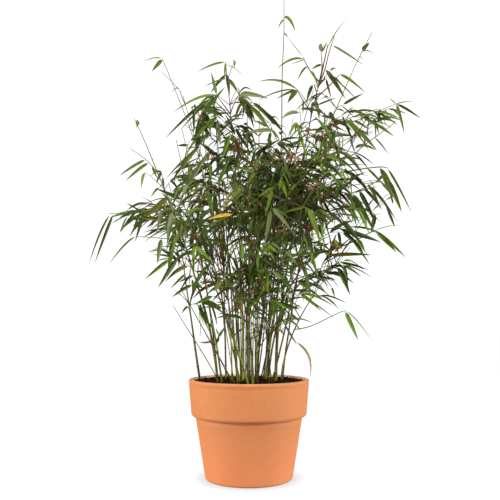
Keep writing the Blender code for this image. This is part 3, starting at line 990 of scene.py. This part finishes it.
def bestFoot(feet, target):
    def cost(foot):
        gap = target - foot["spot"]
        flat = math.hypot(gap.x, gap.y)
        shortfall = max(0.0, flat * branchSizes["steepness"] - gap.z)
        return (gap.length + branchSizes["shortfall"] * shortfall
                + foot["used"] * branchSizes["nodeUse"])
    return min(feet, key=cost)


def massTarget(mass, chance):
    centre, half, lean = mass[:3]
    way = randomWay(chance)
    depth = branchSizes["fill"] * chance.random() ** (1.0 / 3.0)
    local = Vector([way[axis] * half[axis] * depth for axis in range(3)])
    return Vector(centre) + Matrix.Rotation(math.radians(lean), 3, "Y") @ local


def outwardAt(place):
    flat = Vector((place.x - 0.02, place.y, 0.0))
    return (flat.normalized() + Vector((0, 0, -0.15))).normalized()


def growMass(crown, feet, mass):
    crown.chance = random.Random(mass[4])
    for foot in feet:
        foot["used"] = 0
    for _ in range(mass[3]):
        target = massTarget(mass, crown.chance)
        foot = bestFoot(feet, target)
        foot["used"] += 1
        crown.branch(foot["spot"], foot["way"], target, outwardAt(target))


# Clusters of short rising twigs at the nodes, as bamboo has.
def growClusters(crown):
    crown.chance = random.Random(clusterSizes["seed"])
    chance = crown.chance
    for culm in culms:
        for height in culm["nodes"]:
            spot = culmSpot(culm, height)
            if height < clusterSizes["lowest"] or not insideCrown(spot, 0.98):
                continue
            up = (culmSpot(culm, height + 0.01) - spot).normalized()
            bearing = chance.uniform(0.0, 2.0 * math.pi)
            for index in range(chance.randint(*clusterSizes["twigs"])):
                side = Vector((math.cos(bearing), math.sin(bearing), 0.0))
                bearing += math.pi + chance.uniform(-0.9, 0.9)
                lean = math.radians(crown.between(clusterSizes["spread"]))
                way = (up * math.cos(lean) + side * math.sin(lean)).normalized()
                crown.sideTwig(spot, way, (outwardAt(spot) * 0.5 + side).normalized(),
                               crown.between(clusterSizes["length"]),
                               clusterSizes["footRadius"], clusterSizes["tipRadius"])


def growShootLeaves(crown, shoots):
    crown.chance = random.Random(len(shoots))
    for points in shoots:
        if crown.chance.random() < shootSizes["leafShare"] and insideCrown(points[-1], 1.0):
            crown.spray(points, outwardAt(points[-1]), leafSizes["perSpray"])


def growCrown(crown, shoots):
    feet = branchFeet()
    for mass in crownMasses.values():
        growMass(crown, feet, mass)
    growClusters(crown)
    growShootLeaves(crown, shoots)
    growLoneSprays(crown)
    growDryClumps(crown)


# Single shoots and leaves that stand out of the crown: the cane, the twig's places from its foot on,
# how far back its end is, its tint, and its leaves. A leaf is its foot, its tip, its width and its
# bow, or its bow and how far it bends aside. Places, widths and bows are in five hundredths of
# the frame's side.
loneSprays = [
    ("leader_top", [], 0.0, "Mid",
     [(285, 18, 295.5, 31.5, 4.4, 5), (284, 20, 278, 29, 2.0, 2, "Dark"),
      (285, 33, 288, 37, 1.8, 0, "Dark")]),
    ("leader_right", [(313.5, 82), (309, 69), (303, 57)], -0.03, "Mid",
     [(303, 57, 286, 35.5, 1.0, 0, "Grey"), (307, 59.5, 276.6, 69, 3.4, 5),
      (307.4, 69.3, 297.2, 81, 3.0, 3), (302, 61.5, 290, 64.5, 1.2, 0), (312.6, 71, 318, 85, 4.2, 1)]),
    ("leader_right", [(317, 84), (322, 68), (321, 52)], 0.01, "Dark",
     [(321.5, 52, 320.5, 43.5, 4.8, 2, "Grey"), (322, 50, 327, 41.5, 2.6, -1, "Grey"),
      (321, 66, 311.5, 69.6, 3.4, 1)]),
    ("leader_right", [(317, 88), (323, 68), (328, 44)], 0.02, "Straw",
     [(327, 50, 347.8, 18.4, 1.3, 4, "Mid")]),
    ("leader_right", [(318, 88), (325, 69), (328.6, 54), (334.4, 35.6)], -0.01, "Dark",
     [(330.8, 44.6, 363.6, 65, 4.2, 0, "Grey"), (323.5, 67.5, 345.5, 99, 5.2, 1),
      (318, 84, 326, 79, 3.8, 1)]),
    ("leader_right", [(315.5, 99), (330, 85), (339.6, 74.6)], -0.02, "Mid",
     [(339.6, 74.6, 366, 93, 4.2, 1), (342, 73.5, 358, 85.5, 2.6, 2), (336, 80, 358.5, 101.5, 1.6, 1)]),
    ("leader_right", [(315, 100), (316, 101)], -0.01, "Mid", [(315, 100, 319.5, 119.5, 4.2, 1)]),
    ("leader_right", [(311, 113), (304, 102), (297, 90)], -0.02, "Mid",
     [(296, 89, 287.3, 103.3, 5.6, 1, "Dark"), (292, 89, 276.4, 98.7, 3.0, 1),
      (296, 88, 257, 82, 3.4, 6), (280, 84, 255.5, 102, 2.0, 4), (303, 101, 302.8, 115, 2.2, 1)]),
    ("leader_far_right", [], 0.0, "Fresh",
     [(367, 50.8, 369.4, 42.4, 5.2, 0, "Dark"), (366.5, 52.2, 375, 55, 1.5, 3),
      (358.5, 57, 363, 60, 1.8, 1)]),
    ("leader_far_right", [(345, 124), (352, 121.7), (376, 112), (395.8, 104)], -0.04, "Mid",
     [(374, 104, 400.5, 118.5, 4.0, 1), (377.4, 113, 398, 124.8, 3.5, 0),
      (396.4, 103.5, 404.6, 134.5, 4.0, 2), (397, 104, 421, 118.6, 3.6, 1, "Dark"),
      (394, 106, 415.3, 101, 1.5, 1), (396, 103, 389, 97.6, 1.5, 0), (361.4, 115, 394.7, 136.8, 5.4, 1),
      (353.3, 122, 369.4, 130, 4.0, 1)]),
    ("leader_far_right", [(335, 126), (344, 119)], -0.05, "Mid",
     [(344, 119.4, 377.4, 150.6, 6.6, 1), (343, 121, 370, 152, 3.0, 2, "Dark")]),
    ("leader_right", [(318, 165), (347.6, 157), (364.8, 144.7), (394.7, 122.8)], 0.03, "Dark",
     [(375, 140, 389, 155, 2.0, 1), (336, 158, 362.5, 160, 3.0, 2), (352, 157, 369, 170, 3.0, 1)]),
    ("leader_right", [(300, 185), (345, 172), (378, 167), (388, 168)], -0.05, "Mid",
     [(378, 167.6, 402, 213, 6.0, 1), (377, 168, 394, 203, 4.0, 0, "Dark"),
      (386, 167.5, 411.8, 213, 3.0, 2), (366.3, 170, 384.7, 187, 3.0, 1)]),
    ("leader_right", [(300, 205), (340, 196), (356, 191.5), (377.8, 181)], -0.02, "Dark",
     [(369.7, 187, 397, 221, 4.0, 2), (364, 189.5, 382.4, 210, 4.6, 1), (360, 192, 376, 224, 4.8, 1),
      (352.5, 194, 375.5, 234.5, 5.6, 1, "Mid")]),
    ("leader_right", [(290, 262), (330, 250), (354.8, 241), (369.7, 232.6), (376, 231)], -0.06, "Fresh",
     [(369.7, 232.4, 405.8, 257.4, 5.4, 1, "Mid"), (374, 232, 397, 253, 5.0, 1),
      (370, 232.5, 403, 225, 1.0, 2), (356, 241.5, 365, 252, 4.6, 1),
      (351.4, 243, 370.3, 265.5, 2.6, 1)]),
    ("leader_right", [(287, 290), (320, 272), (344, 265)], -0.07, "Dark",
     [(334, 268.7, 350.2, 295.4, 6.0, 1), (343.3, 266, 348, 285, 4.0, 1),
      (344, 265, 373.2, 278.5, 1.6, 2), (342, 265, 361.7, 277, 3.0, 1, "Mid")]),
    ("side_right", [(292, 318), (295, 306), (299.7, 294)], -0.05, "Fresh",
     [(299.7, 294, 321.5, 311.4, 4.2, 1), (299, 296, 336.4, 320.4, 1.6, 2),
      (299, 293, 334, 306.6, 3.8, 3)]),
    ("side_right", [(291, 329.6), (311, 326), (339.9, 312.4), (346, 311)], -0.04, "Fresh",
     [(342, 312.4, 358.3, 340.5, 4.8, 0), (346.5, 311, 372, 341, 1.3, 3)]),
    ("leader_right", [(272, 338), (277, 320.5), (282, 320.5), (289, 331), (296, 343)], -0.06, "Straw",
     [(281, 320, 296.6, 344, 2.0, -1, "Olive"), (294.6, 341.4, 309.4, 378.6, 2.8, (1.8, 7.2))]),
    ("inner_06", [(262, 318), (266, 305), (268.8, 300.4)], -0.14, "Fresh",
     [(268.8, 300.4, 290.6, 310, 3.6, 1), (270, 302, 287, 315.6, 4.6, 1, "Dark")]),
    ("inner_09", [(286, 330), (288, 320), (290, 313.5)], -0.06, "Olive",
     [(290.3, 313.7, 299.6, 321.5, 3.8, 0)]),
    ("leader_left", [], 0.0, "Fresh",
     [(139.8, 126, 137.2, 119.4, 4.4, 0), (158, 172, 153.5, 171, 3.0, 1),
      (138.5, 127, 135.8, 128.6, 1.5, 1.5)]),
    ("leader_left", [(162, 179), (158, 174), (146.6, 160.2), (130.5, 148.7)], 0.02, "Mid",
     [(147, 160.4, 119, 176, 3.4, 1), (150.7, 163.4, 125.2, 181.4, 4.0, 1),
      (153, 168, 157, 178, 3.0, 0)]),
    ("leader_left", [(164, 184), (159.2, 187.8)], 0.0, "Dark", [(159.2, 187.8, 150.6, 197.6, 3.0, 1)]),
    ("leader_left", [(175, 208), (168, 205), (165, 197)], 0.0, "Fresh", [(165, 197, 165, 209, 4.6, 0)]),
    ("leader_left", [(176, 215), (159, 207), (137.4, 212), (109, 213.6)], -0.03, "Dark",
     [(110.5, 213.8, 89, 264.5, 2.4, (2, -1.2)), (113.7, 214, 94.6, 264, 3.4, 1),
      (150, 208, 111, 224.6, 3.6, 3), (137, 213, 119.6, 233.6, 4.0, 1),
      (142, 212, 133, 229.6, 3.0, 0, "Olive"), (146, 211, 135, 242.2, 4.2, 1)]),
    ("leader_left", [(184, 240), (159, 238), (136.3, 236.2)], -0.02, "Mid",
     [(136.3, 236.3, 108.7, 265, 2.8, 3), (162, 236.8, 157.4, 264, 5.4, 0, "Grey"),
      (173.5, 248, 167.6, 276, 4.8, 0)]),
    ("leader_left", [(193, 262), (184, 258), (168.4, 259.2)], -0.03, "Fresh",
     [(171, 257.4, 144.7, 279.6, 4.4, 1), (180, 266, 157.8, 288, 5.2, 0, "Grey")]),
    ("leader_left", [(199, 288), (192.5, 285)], -0.03, "Mid",
     [(192.5, 285.4, 171.8, 297.4, 4.4, 1), (190, 284, 204, 290, 4.6, 2, "Fresh")]),
    ("inner_02", [(222, 300), (213.2, 296)], -0.05, "Fresh", [(213.2, 296, 193.7, 304.8, 4.4, 0)]),
    ("leader_upper_left", [(215, 312), (222, 308.6)], -0.05, "Mid",
     [(222, 308.6, 201.7, 307.6, 2.6, 1)]),
    ("side_left", [(190, 312), (188, 306.5)], 0.0, "Fresh", [(188, 306.3, 181.6, 313.6, 3.0, 1)]),
    ("leader_thin_left", [], 0.0, "Mid",
     [(160, 58.8, 142.4, 62.4, 1.5, 2.5), (160, 59.6, 151.8, 71.4, 4.8, 0)]),
    ("leader_upper_left", [(184, 106), (181.5, 96), (178.7, 89), (162, 72.4)], -0.01, "Mid",
     [(178.7, 89, 171.6, 92.8, 2.0, 2.5)]),
    ("leader_middle", [], 0.0, "Mid",
     [(223.5, 62, 197, 72, 2.6, 2), (222.5, 62, 224.6, 78.5, 2.6, 0), (226, 64.4, 245.4, 78, 1.3, 2),
      (226.5, 78.7, 204, 87, 2.8, 1), (228.5, 79.5, 238.6, 94, 4.4, 2)]),
    ("leader_middle", [(229.8, 114.3), (223, 104), (216.6, 95)], -0.02, "Mid",
     [(218, 96, 199.4, 104.5, 4.2, 3, "Fresh"), (216.4, 95, 211, 71.8, 4.0, 0, "Grey"),
      (217, 96, 172.2, 113.4, 5.2, 5), (214, 96, 212, 111.4, 4.0, 0, "Fresh")]),
    ("leader_middle", [(229.5, 118), (219, 105), (211, 98)], -0.03, "Dark",
     [(211, 99, 164.4, 139.4, 3.6, 3), (210, 102, 194.6, 133, 6.4, 1, "Grey"),
      (212, 101, 180, 130.6, 3.0, 2)]),
    ("leader_middle", [(229.3, 132.7), (222, 125), (214.5, 117)], -0.03, "Fresh",
     [(214.5, 117.5, 209.5, 130.6, 4.4, 0), (214, 117, 183, 160.4, 4.6, 4, "Mid"),
      (216, 122, 220.4, 145.6, 4.4, 0, "Grey")]),
    ("leader_middle", [(230.4, 113), (234, 104), (239.5, 93.5)], 0.02, "Dark",
     [(239.8, 93, 268.5, 98.5, 5.8, 1, "Grey"), (239, 94, 252, 91, 2.4, 5),
      (238, 97, 250, 121.5, 4.6, 3, "Mid")]),
    ("leader_middle", [(231, 122), (243, 110.8), (252, 102.5)], -0.04, "Dark",
     [(252.3, 102.6, 275, 126, 5.0, 2), (253, 102.6, 287, 137, 4.0, 3),
      (247, 107, 272, 132.4, 4.8, 1, "Mid"), (244, 110, 254, 129, 4.0, 1)]),
    ("leader_middle", [(228.5, 136), (230, 134)], -0.05, "Mid",
     [(229.3, 135, 221, 160.6, 5.0, 0, "Fresh"), (232, 134, 244.4, 158.6, 5.2, 2, "Dark")]),
    ("leader_upper_left", [(196, 158), (199, 147)], -0.05, "Dark",
     [(200.5, 148, 171.6, 181.4, 6.0, 1), (200, 149, 176, 176, 5.0, 2, "Mid"),
      (198, 150, 165, 180, 3.0, 2)]),
    ("leader_left", [(196, 262), (225, 222), (232.5, 214.6)], -0.14, "Yellow",
     [(232.5, 214.6, 207.5, 219.4, 4.6, 0.7), (211, 218.2, 192.6, 237.5, 2.8, 2, "Mid")]),
    ("leader_thin_left", [(225, 240), (223.5, 212), (223.3, 209)], -0.12, "Straw",
     [(223.3, 210.5, 233, 188, 1.7, (0, -1.5)), (231, 190.4, 243.6, 186.2, 2.6, 1.2, "Olive")]),
    ("leader_thin_left", [(215, 230), (236, 196), (243, 185)], -0.08, "Olive",
     [(243, 185, 223.5, 205.4, 4.0, 3)]),
    ("leader_thin_left", [(208, 205), (207, 190)], -0.06, "Mid", [(207.4, 186, 213, 215, 5.8, 1)]),
    ("leader_front", [(240, 152), (236, 145), (234.5, 139)], -0.08, "Burgundy",
     [(234.5, 139, 241, 160, 4.2, 0)]),
    ("leader_front", [(241, 150), (250, 134), (275, 131)], -0.09, "Grey",
     [(275, 131, 245, 133, 3.6, 2), (270, 130, 280, 141, 3.0, 1, "Olive"),
      (267, 133, 268, 150, 4.0, 0, "Dark")]),
    ("leader_front", [(241, 185), (250, 176), (255, 173)], -0.08, "Fresh",
     [(255, 175, 246, 187, 3.8, 1), (244, 180, 232, 168, 4.0, 2, "Mid"),
      (241, 170, 247, 187, 6.0, 2, "Dark")]),
    ("inner_06", [(302, 150), (300, 130), (296, 122)], -0.12, "Fresh",
     [(296, 125, 288, 137, 3.4, 0), (300, 124, 295, 135, 2.6, 1), (299, 146, 308, 163, 3.4, 1)]),
    ("leader_front", [(243, 215), (262, 200), (282, 178)], -0.08, "Fresh",
     [(282, 180, 279, 190, 4.0, 0), (266, 185, 257, 198, 2.6, 1), (284, 184, 287, 198, 4.0, 1),
      (269, 192, 265, 216, 4.0, 0, "Mid")]),
    ("inner_08", [(322, 200), (326, 180), (334, 170)], -0.05, "Fresh",
     [(325, 176, 341, 190, 4.0, 1), (337, 171, 322, 176, 2.4, 1), (322, 190, 312, 204, 3.4, 1, "Mid")]),
    ("leader_front", [(244, 238), (262, 224), (272, 208)], -0.1, "Grey",
     [(269, 215, 265, 243, 4.6, 0), (272, 208, 290, 219, 2.6, 2), (274, 212, 293, 233, 4.2, 2)]),
    ("inner_06", [(284, 208), (292, 204), (308, 208)], -0.16, "Mid",
     [(296, 205, 306, 213, 4.0, 1), (309, 211, 321, 245, 6.0, 2), (292, 204, 281, 214, 3.0, 1)]),
    ("leader_front", [(245, 262), (258, 250), (271, 243)], -0.1, "Mid",
     [(271, 243, 283, 253, 4.0, 1, "Grey"), (262, 240, 262, 254, 4.4, 0, "Fresh"),
      (251, 268, 261, 253, 3.2, 0, "Olive")]),
    ("inner_08", [(301, 258), (318, 248), (335, 240)], -0.06, "Fresh",
     [(335, 240, 339, 246, 3.0, 0), (310, 243, 321, 251, 3.0, 1, "Dark"),
      (319, 240, 322, 252, 2.0, 1, "Mid")]),
    ("inner_13", [(198, 235), (196, 243), (194, 246)], -0.04, "Fresh",
     [(194, 246, 212, 262, 4.8, 1), (194, 246, 193, 259, 4.0, 0), (190, 256, 194, 279, 4.0, 1)]),
    ("inner_13", [(196, 222), (186, 217), (175, 218)], -0.04, "Fresh",
     [(183, 218, 190, 231, 4.0, 1), (175, 218.5, 177, 231, 4.0, 0, "Mid")]),
    ("inner_13", [(205, 262), (225, 250), (226, 244)], -0.05, "Dark", [(225, 244, 196, 241, 4.2, 2)]),
    ("leader_thin_left", [(199, 178), (206, 168), (210, 163)], -0.06, "Mid",
     [(210, 164, 211, 181, 4.2, 0), (208, 166, 194, 176, 3.4, 2, "Dark")]),
    ("leader_thin_left", [(222, 290), (222, 284), (221, 281)], -0.1, "Olive",
     [(221, 281, 213.5, 292, 5.4, 0), (221, 273, 230, 272.5, 2.6, 1, "Grey")]),
    ("inner_13", [(209, 262), (203, 256), (200, 254)], -0.04, "Mid", [(203, 255, 215, 268, 5.0, 1)]),
    ("leader_top", [(276, 292), (283, 285), (282, 279)], -0.17, "Grey",
     [(281.5, 279.5, 271.5, 270.5, 5.2, 0), (284, 281, 290.5, 286, 4.4, 0),
      (286, 281, 285, 273, 3.4, 0, "Fresh"), (279, 285, 291, 288.5, 3.0, 1, "Dark")]),
    ("leader_front", [(246, 290), (258, 287), (262, 276)], -0.08, "Burgundy",
     [(262, 276, 257, 285, 4.0, 0), (252, 275, 267, 263, 4.0, 1, "Mid"),
      (259, 293, 271, 297.5, 4.0, 1, "Olive")]),
    ("leader_front", [(246.5, 318), (247, 309)], -0.03, "Fresh",
     [(246.5, 313, 262, 297, 3.6, 1), (249, 308, 258.5, 322.5, 3.6, 1.5)]),
    ("leader_front", [(247, 326), (243, 319)], -0.03, "Dark",
     [(243, 321, 215, 318.8, 4.0, 3), (232, 316, 216, 313, 2.6, 1)]),
    ("inner_13", [(215, 345), (219, 334)], -0.01, "Fresh",
     [(217.5, 338, 225, 326.5, 3.4, 0), (218.6, 335, 215.5, 327.5, 1.7, 0),
      (207, 342, 219, 335, 3.0, 0, "Dark")]),
    ("inner_13", [(216, 346), (213, 341)], 0.0, "Sheath", [(213, 341, 199, 342, 2.4, -1)]),
    ("leader_left", [(214, 340), (209.8, 328)], -0.03, "Fresh", [(209.8, 328, 212, 321.5, 3.4, 0)]),
    ("side_left", [(186, 284), (184, 276)], -0.02, "Mid", [(184, 276, 175.5, 283.5, 2.6, 0)]),
    ("leader_far_right", [(285, 284), (318, 272), (327, 281), (331.5, 287)], -0.05, "Mid",
     [(331.5, 287, 335, 297.5, 2.4, 0), (316, 275, 337, 281, 2.4, 1, "Dark")]),
    ("inner_09", [(292, 300), (296, 290), (297, 281)], -0.1, "Mid",
     [(296, 281, 314, 294, 5.0, 2, "Fresh"), (296, 279, 331, 297, 3.0, 4, "Dark"),
      (312, 291, 325, 301, 3.0, 1)]),
]


# Little clumps of dry sheaths and short brown shoots: the cane, the foot's row, where the clump is
# and how far in front of the cane.
dryClumps = [
    ("inner_06", 150, 308.6, 130, -0.14), ("leader_front", 172, 296, 157, -0.06),
    ("inner_13", 175, 212, 159, -0.03), ("inner_08", 205, 312, 185, -0.05),
    ("leader_front", 340, 283, 331, 0.02), ("leader_thin_left", 215, 203, 197, -0.08),
    ("leader_front", 244, 284, 232, -0.08), ("inner_08", 262, 343, 248, -0.05),
    ("leader_front", 302, 256, 294, -0.05), ("leader_thin_left", 322, 222, 303, -0.03),
    ("inner_06", 348, 275, 330, -0.05), ("inner_05", 332, 237, 303, -0.02),
    ("inner_13", 300, 205, 283, -0.02),
]
clumpBracts = {"seed": 5, "count": (6, 9), "length": (0.008, 0.018), "width": (0.0028, 0.0048)}


# The frame's row where the camera sees a place, and the place on a cane that it sees at a row.
def rowOf(place):
    away = viewSizes["distance"] + place.y
    tilt = math.radians(viewSizes["tilt"])
    angle = math.atan2(place.z - viewSizes["height"], away) - tilt
    return viewSizes["frame"] / 2.0 - viewSizes["focalPixels"] * math.tan(angle)


def culmSpotAtRow(culm, row):
    low, high = soilTop, culm["size"][4]
    for _ in range(30):
        height = (low + high) / 2.0
        if rowOf(culmSpot(culm, height)) > row:
            low = height
        else:
            high = height
    return culmSpot(culm, height)


def nearestOn(points, spot):
    best = points[-1]
    for first, second in zip(points, points[1:]):
        span = second - first
        share = min(max((spot - first).dot(span) / max(span.length_squared, 1e-12), 0.0), 1.0)
        place = first + span * share
        if (place - spot).length < (best - spot).length:
            best = place
    return best


def growLoneSprays(crown):
    crown.chance = random.Random(loneSizes["seed"])
    chance = crown.chance
    for name, twig, back, tint, leaves in loneSprays:
        culm = namedCulms[name]
        line = None
        if twig:
            foot = culmSpotAtRow(culm, twig[0][1])
            steps = max(len(twig) - 1, 1)
            places = [foot] + [seenAt(column, row, foot.y + back * step / steps)
                               for step, (column, row) in enumerate(twig[1:], 1)]
            line = smoothPoints(places, loneSizes["steps"])
            stout = loneSizes["stout"].get(name, 1.0)
            crown.addTwig(line, loneSizes["footRadius"] * stout, loneSizes["tipRadius"] * stout)
        for leaf in leaves:
            column, row, tipColumn, tipRow, width, bow = leaf[:6]
            if line is None:
                start = culmSpotAtRow(culm, row)
            else:
                start = nearestOn(line, seenAt(column, row, line[-1].y))
            depth = start.y
            scale = seenAt(250.5, 250, depth).x - seenAt(249.5, 250, depth).x
            length = math.hypot(tipColumn - column, tipRow - row) * scale
            tip = seenAt(tipColumn, tipRow, depth + chance.uniform(-0.35, 0.25) * length)
            lift, aside = bow if isinstance(bow, tuple) else (bow, 0.0)
            bend = start.lerp(tip, 0.42) + Vector((aside, 0.0, lift)) * 2.0 * scale
            face = (Vector((0.0, -1.0, 0.25)) + randomWay(chance) * loneSizes["tilt"]).normalized()
            crown.addLeaf(leaf[6] if len(leaf) > 6 else tint, start, bend, tip, face, width * scale,
                          loneSizes["twist"])


def growDryClumps(crown):
    crown.chance = random.Random(clumpBracts["seed"])
    chance = crown.chance
    for name, row, column, topRow, forward in dryClumps:
        foot = culmSpotAtRow(namedCulms[name], row)
        spot = seenAt(column, topRow, foot.y + forward)
        line = smoothPoints([foot, foot.lerp(spot, 0.5) + Vector((0.0, 0.0, 0.006)), spot], 3)
        crown.addTwig(line, loneSizes["footRadius"], loneSizes["tipRadius"])
        for _ in range(chance.randint(*clumpBracts["count"])):
            way = (randomWay(chance) + Vector((0.0, -0.3, 0.3))).normalized()
            start = pointAlong(line, chance.uniform(0.85, 1.0))
            tip = start + way * crown.between(clumpBracts["length"])
            bend = start.lerp(tip, 0.5) + Vector((0.0, 0.0, 0.0015))
            face = (Vector((0.0, -1.0, 0.3)) + randomWay(chance)).normalized()
            crown.addLeaf("Sheath", start, bend, tip, face, crown.between(clumpBracts["width"]))


# A smooth line through given places.
def smoothPoints(places, steps):
    if len(places) == 2:
        return [places[0].lerp(places[1], step / steps) for step in range(steps + 1)]
    padded = [places[0] * 2 - places[1]] + places + [places[-1] * 2 - places[-2]]
    points = [places[0]]
    for a, b, c, d in zip(padded, padded[1:], padded[2:], padded[3:]):
        for step in range(1, steps + 1):
            t = step / steps
            points.append((b * 2 + (c - a) * t + (a * 2 - b * 5 + c * 4 - d) * t * t
                           + (b * 3 - a - c * 3 + d) * t ** 3) * 0.5)
    return points


def leafMesh(leaves):
    count = len(leaves)
    rings = np.array(leafRings)
    outline = np.array(leafOutline)
    stalk = np.array([leaf["stalk"] for leaf in leaves])[:, None, :]
    bend = np.array([leaf["bend"] for leaf in leaves])[:, None, :]
    tip = np.array([leaf["tip"] for leaf in leaves])[:, None, :]
    face = np.array([leaf["face"] for leaf in leaves])[:, None, :]
    width = np.array([leaf["width"] for leaf in leaves])[:, None, None]
    fold = np.array([leaf["fold"] for leaf in leaves])[:, None, None]
    twist = np.array([leaf["twist"] for leaf in leaves])[:, None, None]
    share = rings[None, :, None]
    spine = stalk * (1 - share) ** 2 + bend * 2 * share * (1 - share) + tip * share ** 2
    along = 2 * (1 - share) * (bend - stalk) + 2 * share * (tip - bend)
    along /= np.linalg.norm(along, axis=2, keepdims=True) + 1e-12
    side = np.cross(along, np.broadcast_to(face, along.shape))
    side /= np.linalg.norm(side, axis=2, keepdims=True) + 1e-12
    above = np.cross(side, along)
    turn = twist * share
    side, above = (side * np.cos(turn) + above * np.sin(turn),
                   above * np.cos(turn) - side * np.sin(turn))
    half = width * 0.5 * outline[None, :, None]
    lift = above * half * np.sin(fold)
    left = spine - side * half * np.cos(fold) + lift
    right = spine + side * half * np.cos(fold) + lift
    under = spine - above * leafSizes["thickness"]
    corners = np.stack([left, spine, right, left, under, right], axis=2).reshape(-1, 3)
    ringCount = len(rings)
    quads, spots = [], []
    for ring in range(ringCount - 1):
        low, high = ring * 6, ring * 6 + 6
        v0, v1 = 0.02 + 0.96 * rings[ring], 0.02 + 0.96 * rings[ring + 1]
        for first, under in ((0, False), (1, False), (3, True), (4, True)):
            quad = [low + first, low + first + 1, high + first + 1, high + first]
            across = [first % 3 - 1.0, first % 3, first % 3, first % 3 - 1.0]
            rows = [v0, v0, v1, v1]
            if under:
                quad, across, rows = quad[::-1], across[::-1], rows[::-1]
            quads.append(quad)
            spots.append([(value, row, 1.0 if under else 0.0) for value, row in zip(across, rows)])
    quads = np.array(quads)
    spots = np.array(spots)
    faces = (quads[None] + (np.arange(count) * ringCount * 6)[:, None, None]).reshape(-1, 4)
    variant = np.array([leaf["variant"] for leaf in leaves])[:, None, None]
    strips = leafSizes["variants"] * 2
    column = variant * 2 + spots[None, :, :, 2] + 0.5 + spots[None, :, :, 0] * leafSizes["stripShare"]
    rows = np.broadcast_to(spots[None, :, :, 1], column.shape)
    return corners, faces, np.stack([column / strips, rows], axis=3).reshape(-1, 2)


def leafPaint(name):
    top, under, _ = leafTints[name]
    paint = Paint("leaf" + name, top, 0.36, Specular_IOR_Level=0.16,
                  Specular_Tint=(0.80, 1.0, 0.25, 1.0))
    column, row = paint.mapAxes(bakeMap)
    strips = leafSizes["variants"] * 2
    strip = (column * strips).sum("FLOOR")
    across = ((column * strips).sum("FRACT") - 0.5) / leafSizes["stripShare"]
    below = (strip * 0.5).sum("FRACT") * 2.0
    variant = (strip * 0.5).sum("FLOOR") / (leafSizes["variants"] - 1)
    ribs = (across * (math.pi * 12.0)).sum("COSINE") * 0.5 + 0.5
    midrib = 1.0 - (abs(across) / 0.10).clamped()
    cells = paint.add("ShaderNodeCombineXYZ", {}, {0: across, 1: row * 5.0, 2: strip})
    cloud = paint.noise(cells, 1.6, 3.0)
    upper = paint.blend(cloud.rise(0.3, 0.7), tuple(0.80 * v for v in top), tuple(1.2 * v for v in top))
    shade = paint.blend(variant * 0.45, upper, (top[0] * 1.5, top[1] * 1.35, top[2] * 1.3))
    both = paint.blend(below, shade, under)
    veined = paint.blend(ribs * 0.16, both, tuple(1.6 * v for v in under))
    ribbed = paint.blend(midrib * 0.45, veined, (0.24, 0.28, 0.10))
    edge = abs(across).rise(0.86, 1.0) * 0.35
    edged = paint.blend(edge, ribbed, tuple(0.6 * v for v in top))
    foot = (1.0 - row.rise(0.02, 0.12)) * 0.6
    stalked = paint.blend(foot, edged, (0.24, 0.25, 0.07))
    dryTip = row.rise(0.93, 0.985) * (0.35 + variant * 0.5)
    paint.feed("Base Color", paint.blend(dryTip, stalked, (0.34, 0.24, 0.11)))
    paint.feed("Roughness", 0.34 + below * 0.2)
    paint.bump(ribs + midrib * -1.5, 0.35, 0.00025)
    return paint


def twigPaint():
    paint = Paint("twigBark", (0.20, 0.10, 0.045), 0.55, Specular_IOR_Level=0.10,
                  Specular_Tint=(1.0, 0.80, 0.35, 1.0))
    column, row = paint.mapAxes(bakeMap)
    joints = ((row * 6.0).sum("FRACT") - 0.5).sum("ABSOLUTE").rise(0.40, 0.5)
    spot = paint.add("ShaderNodeCombineXYZ", {}, {0: column * 30.0, 1: row * 9.0, 2: 0.0})
    patch = paint.noise(spot, 1.3, 3.0)
    bark = paint.blend(patch.rise(0.3, 0.7), (0.180, 0.078, 0.034), (0.075, 0.034, 0.015))
    dull = paint.blend(patch.rise(0.3, 0.7), (0.100, 0.085, 0.028), (0.040, 0.036, 0.012))
    mixed = paint.blend(column.rise(0.45, 0.55), bark, dull)
    greener = paint.blend(row.rise(0.60, 1.0) * 0.5, mixed, (0.120, 0.125, 0.040))
    paint.feed("Base Color", paint.blend(joints * 0.3, greener, (0.22, 0.13, 0.060)))
    paint.feed("Roughness", 0.45 + patch * 0.2)
    return paint


shoots = makeShoots()
crown = Crown()
growCrown(crown, shoots)
makePiece("crown_twigs", crown.twigs.corners, crown.twigs.faces, {bakeMap: crown.twigs.bakeSpots},
          twigPaint(), foliageNodes)
print("twigs:", len(crown.twigs.faces), "faces")
total = 0
for name in tintNames:
    if crown.leaves[name]:
        corners, faces, spots = leafMesh(crown.leaves[name])
        makePiece("leaves_" + name.lower(), corners.tolist(), faces.tolist(), {bakeMap: spots},
                  leafPaint(name), foliageNodes,
                  creased=np.arange(len(corners)) % 3 == 1)
        total += len(crown.leaves[name])
print("leaves:", total)
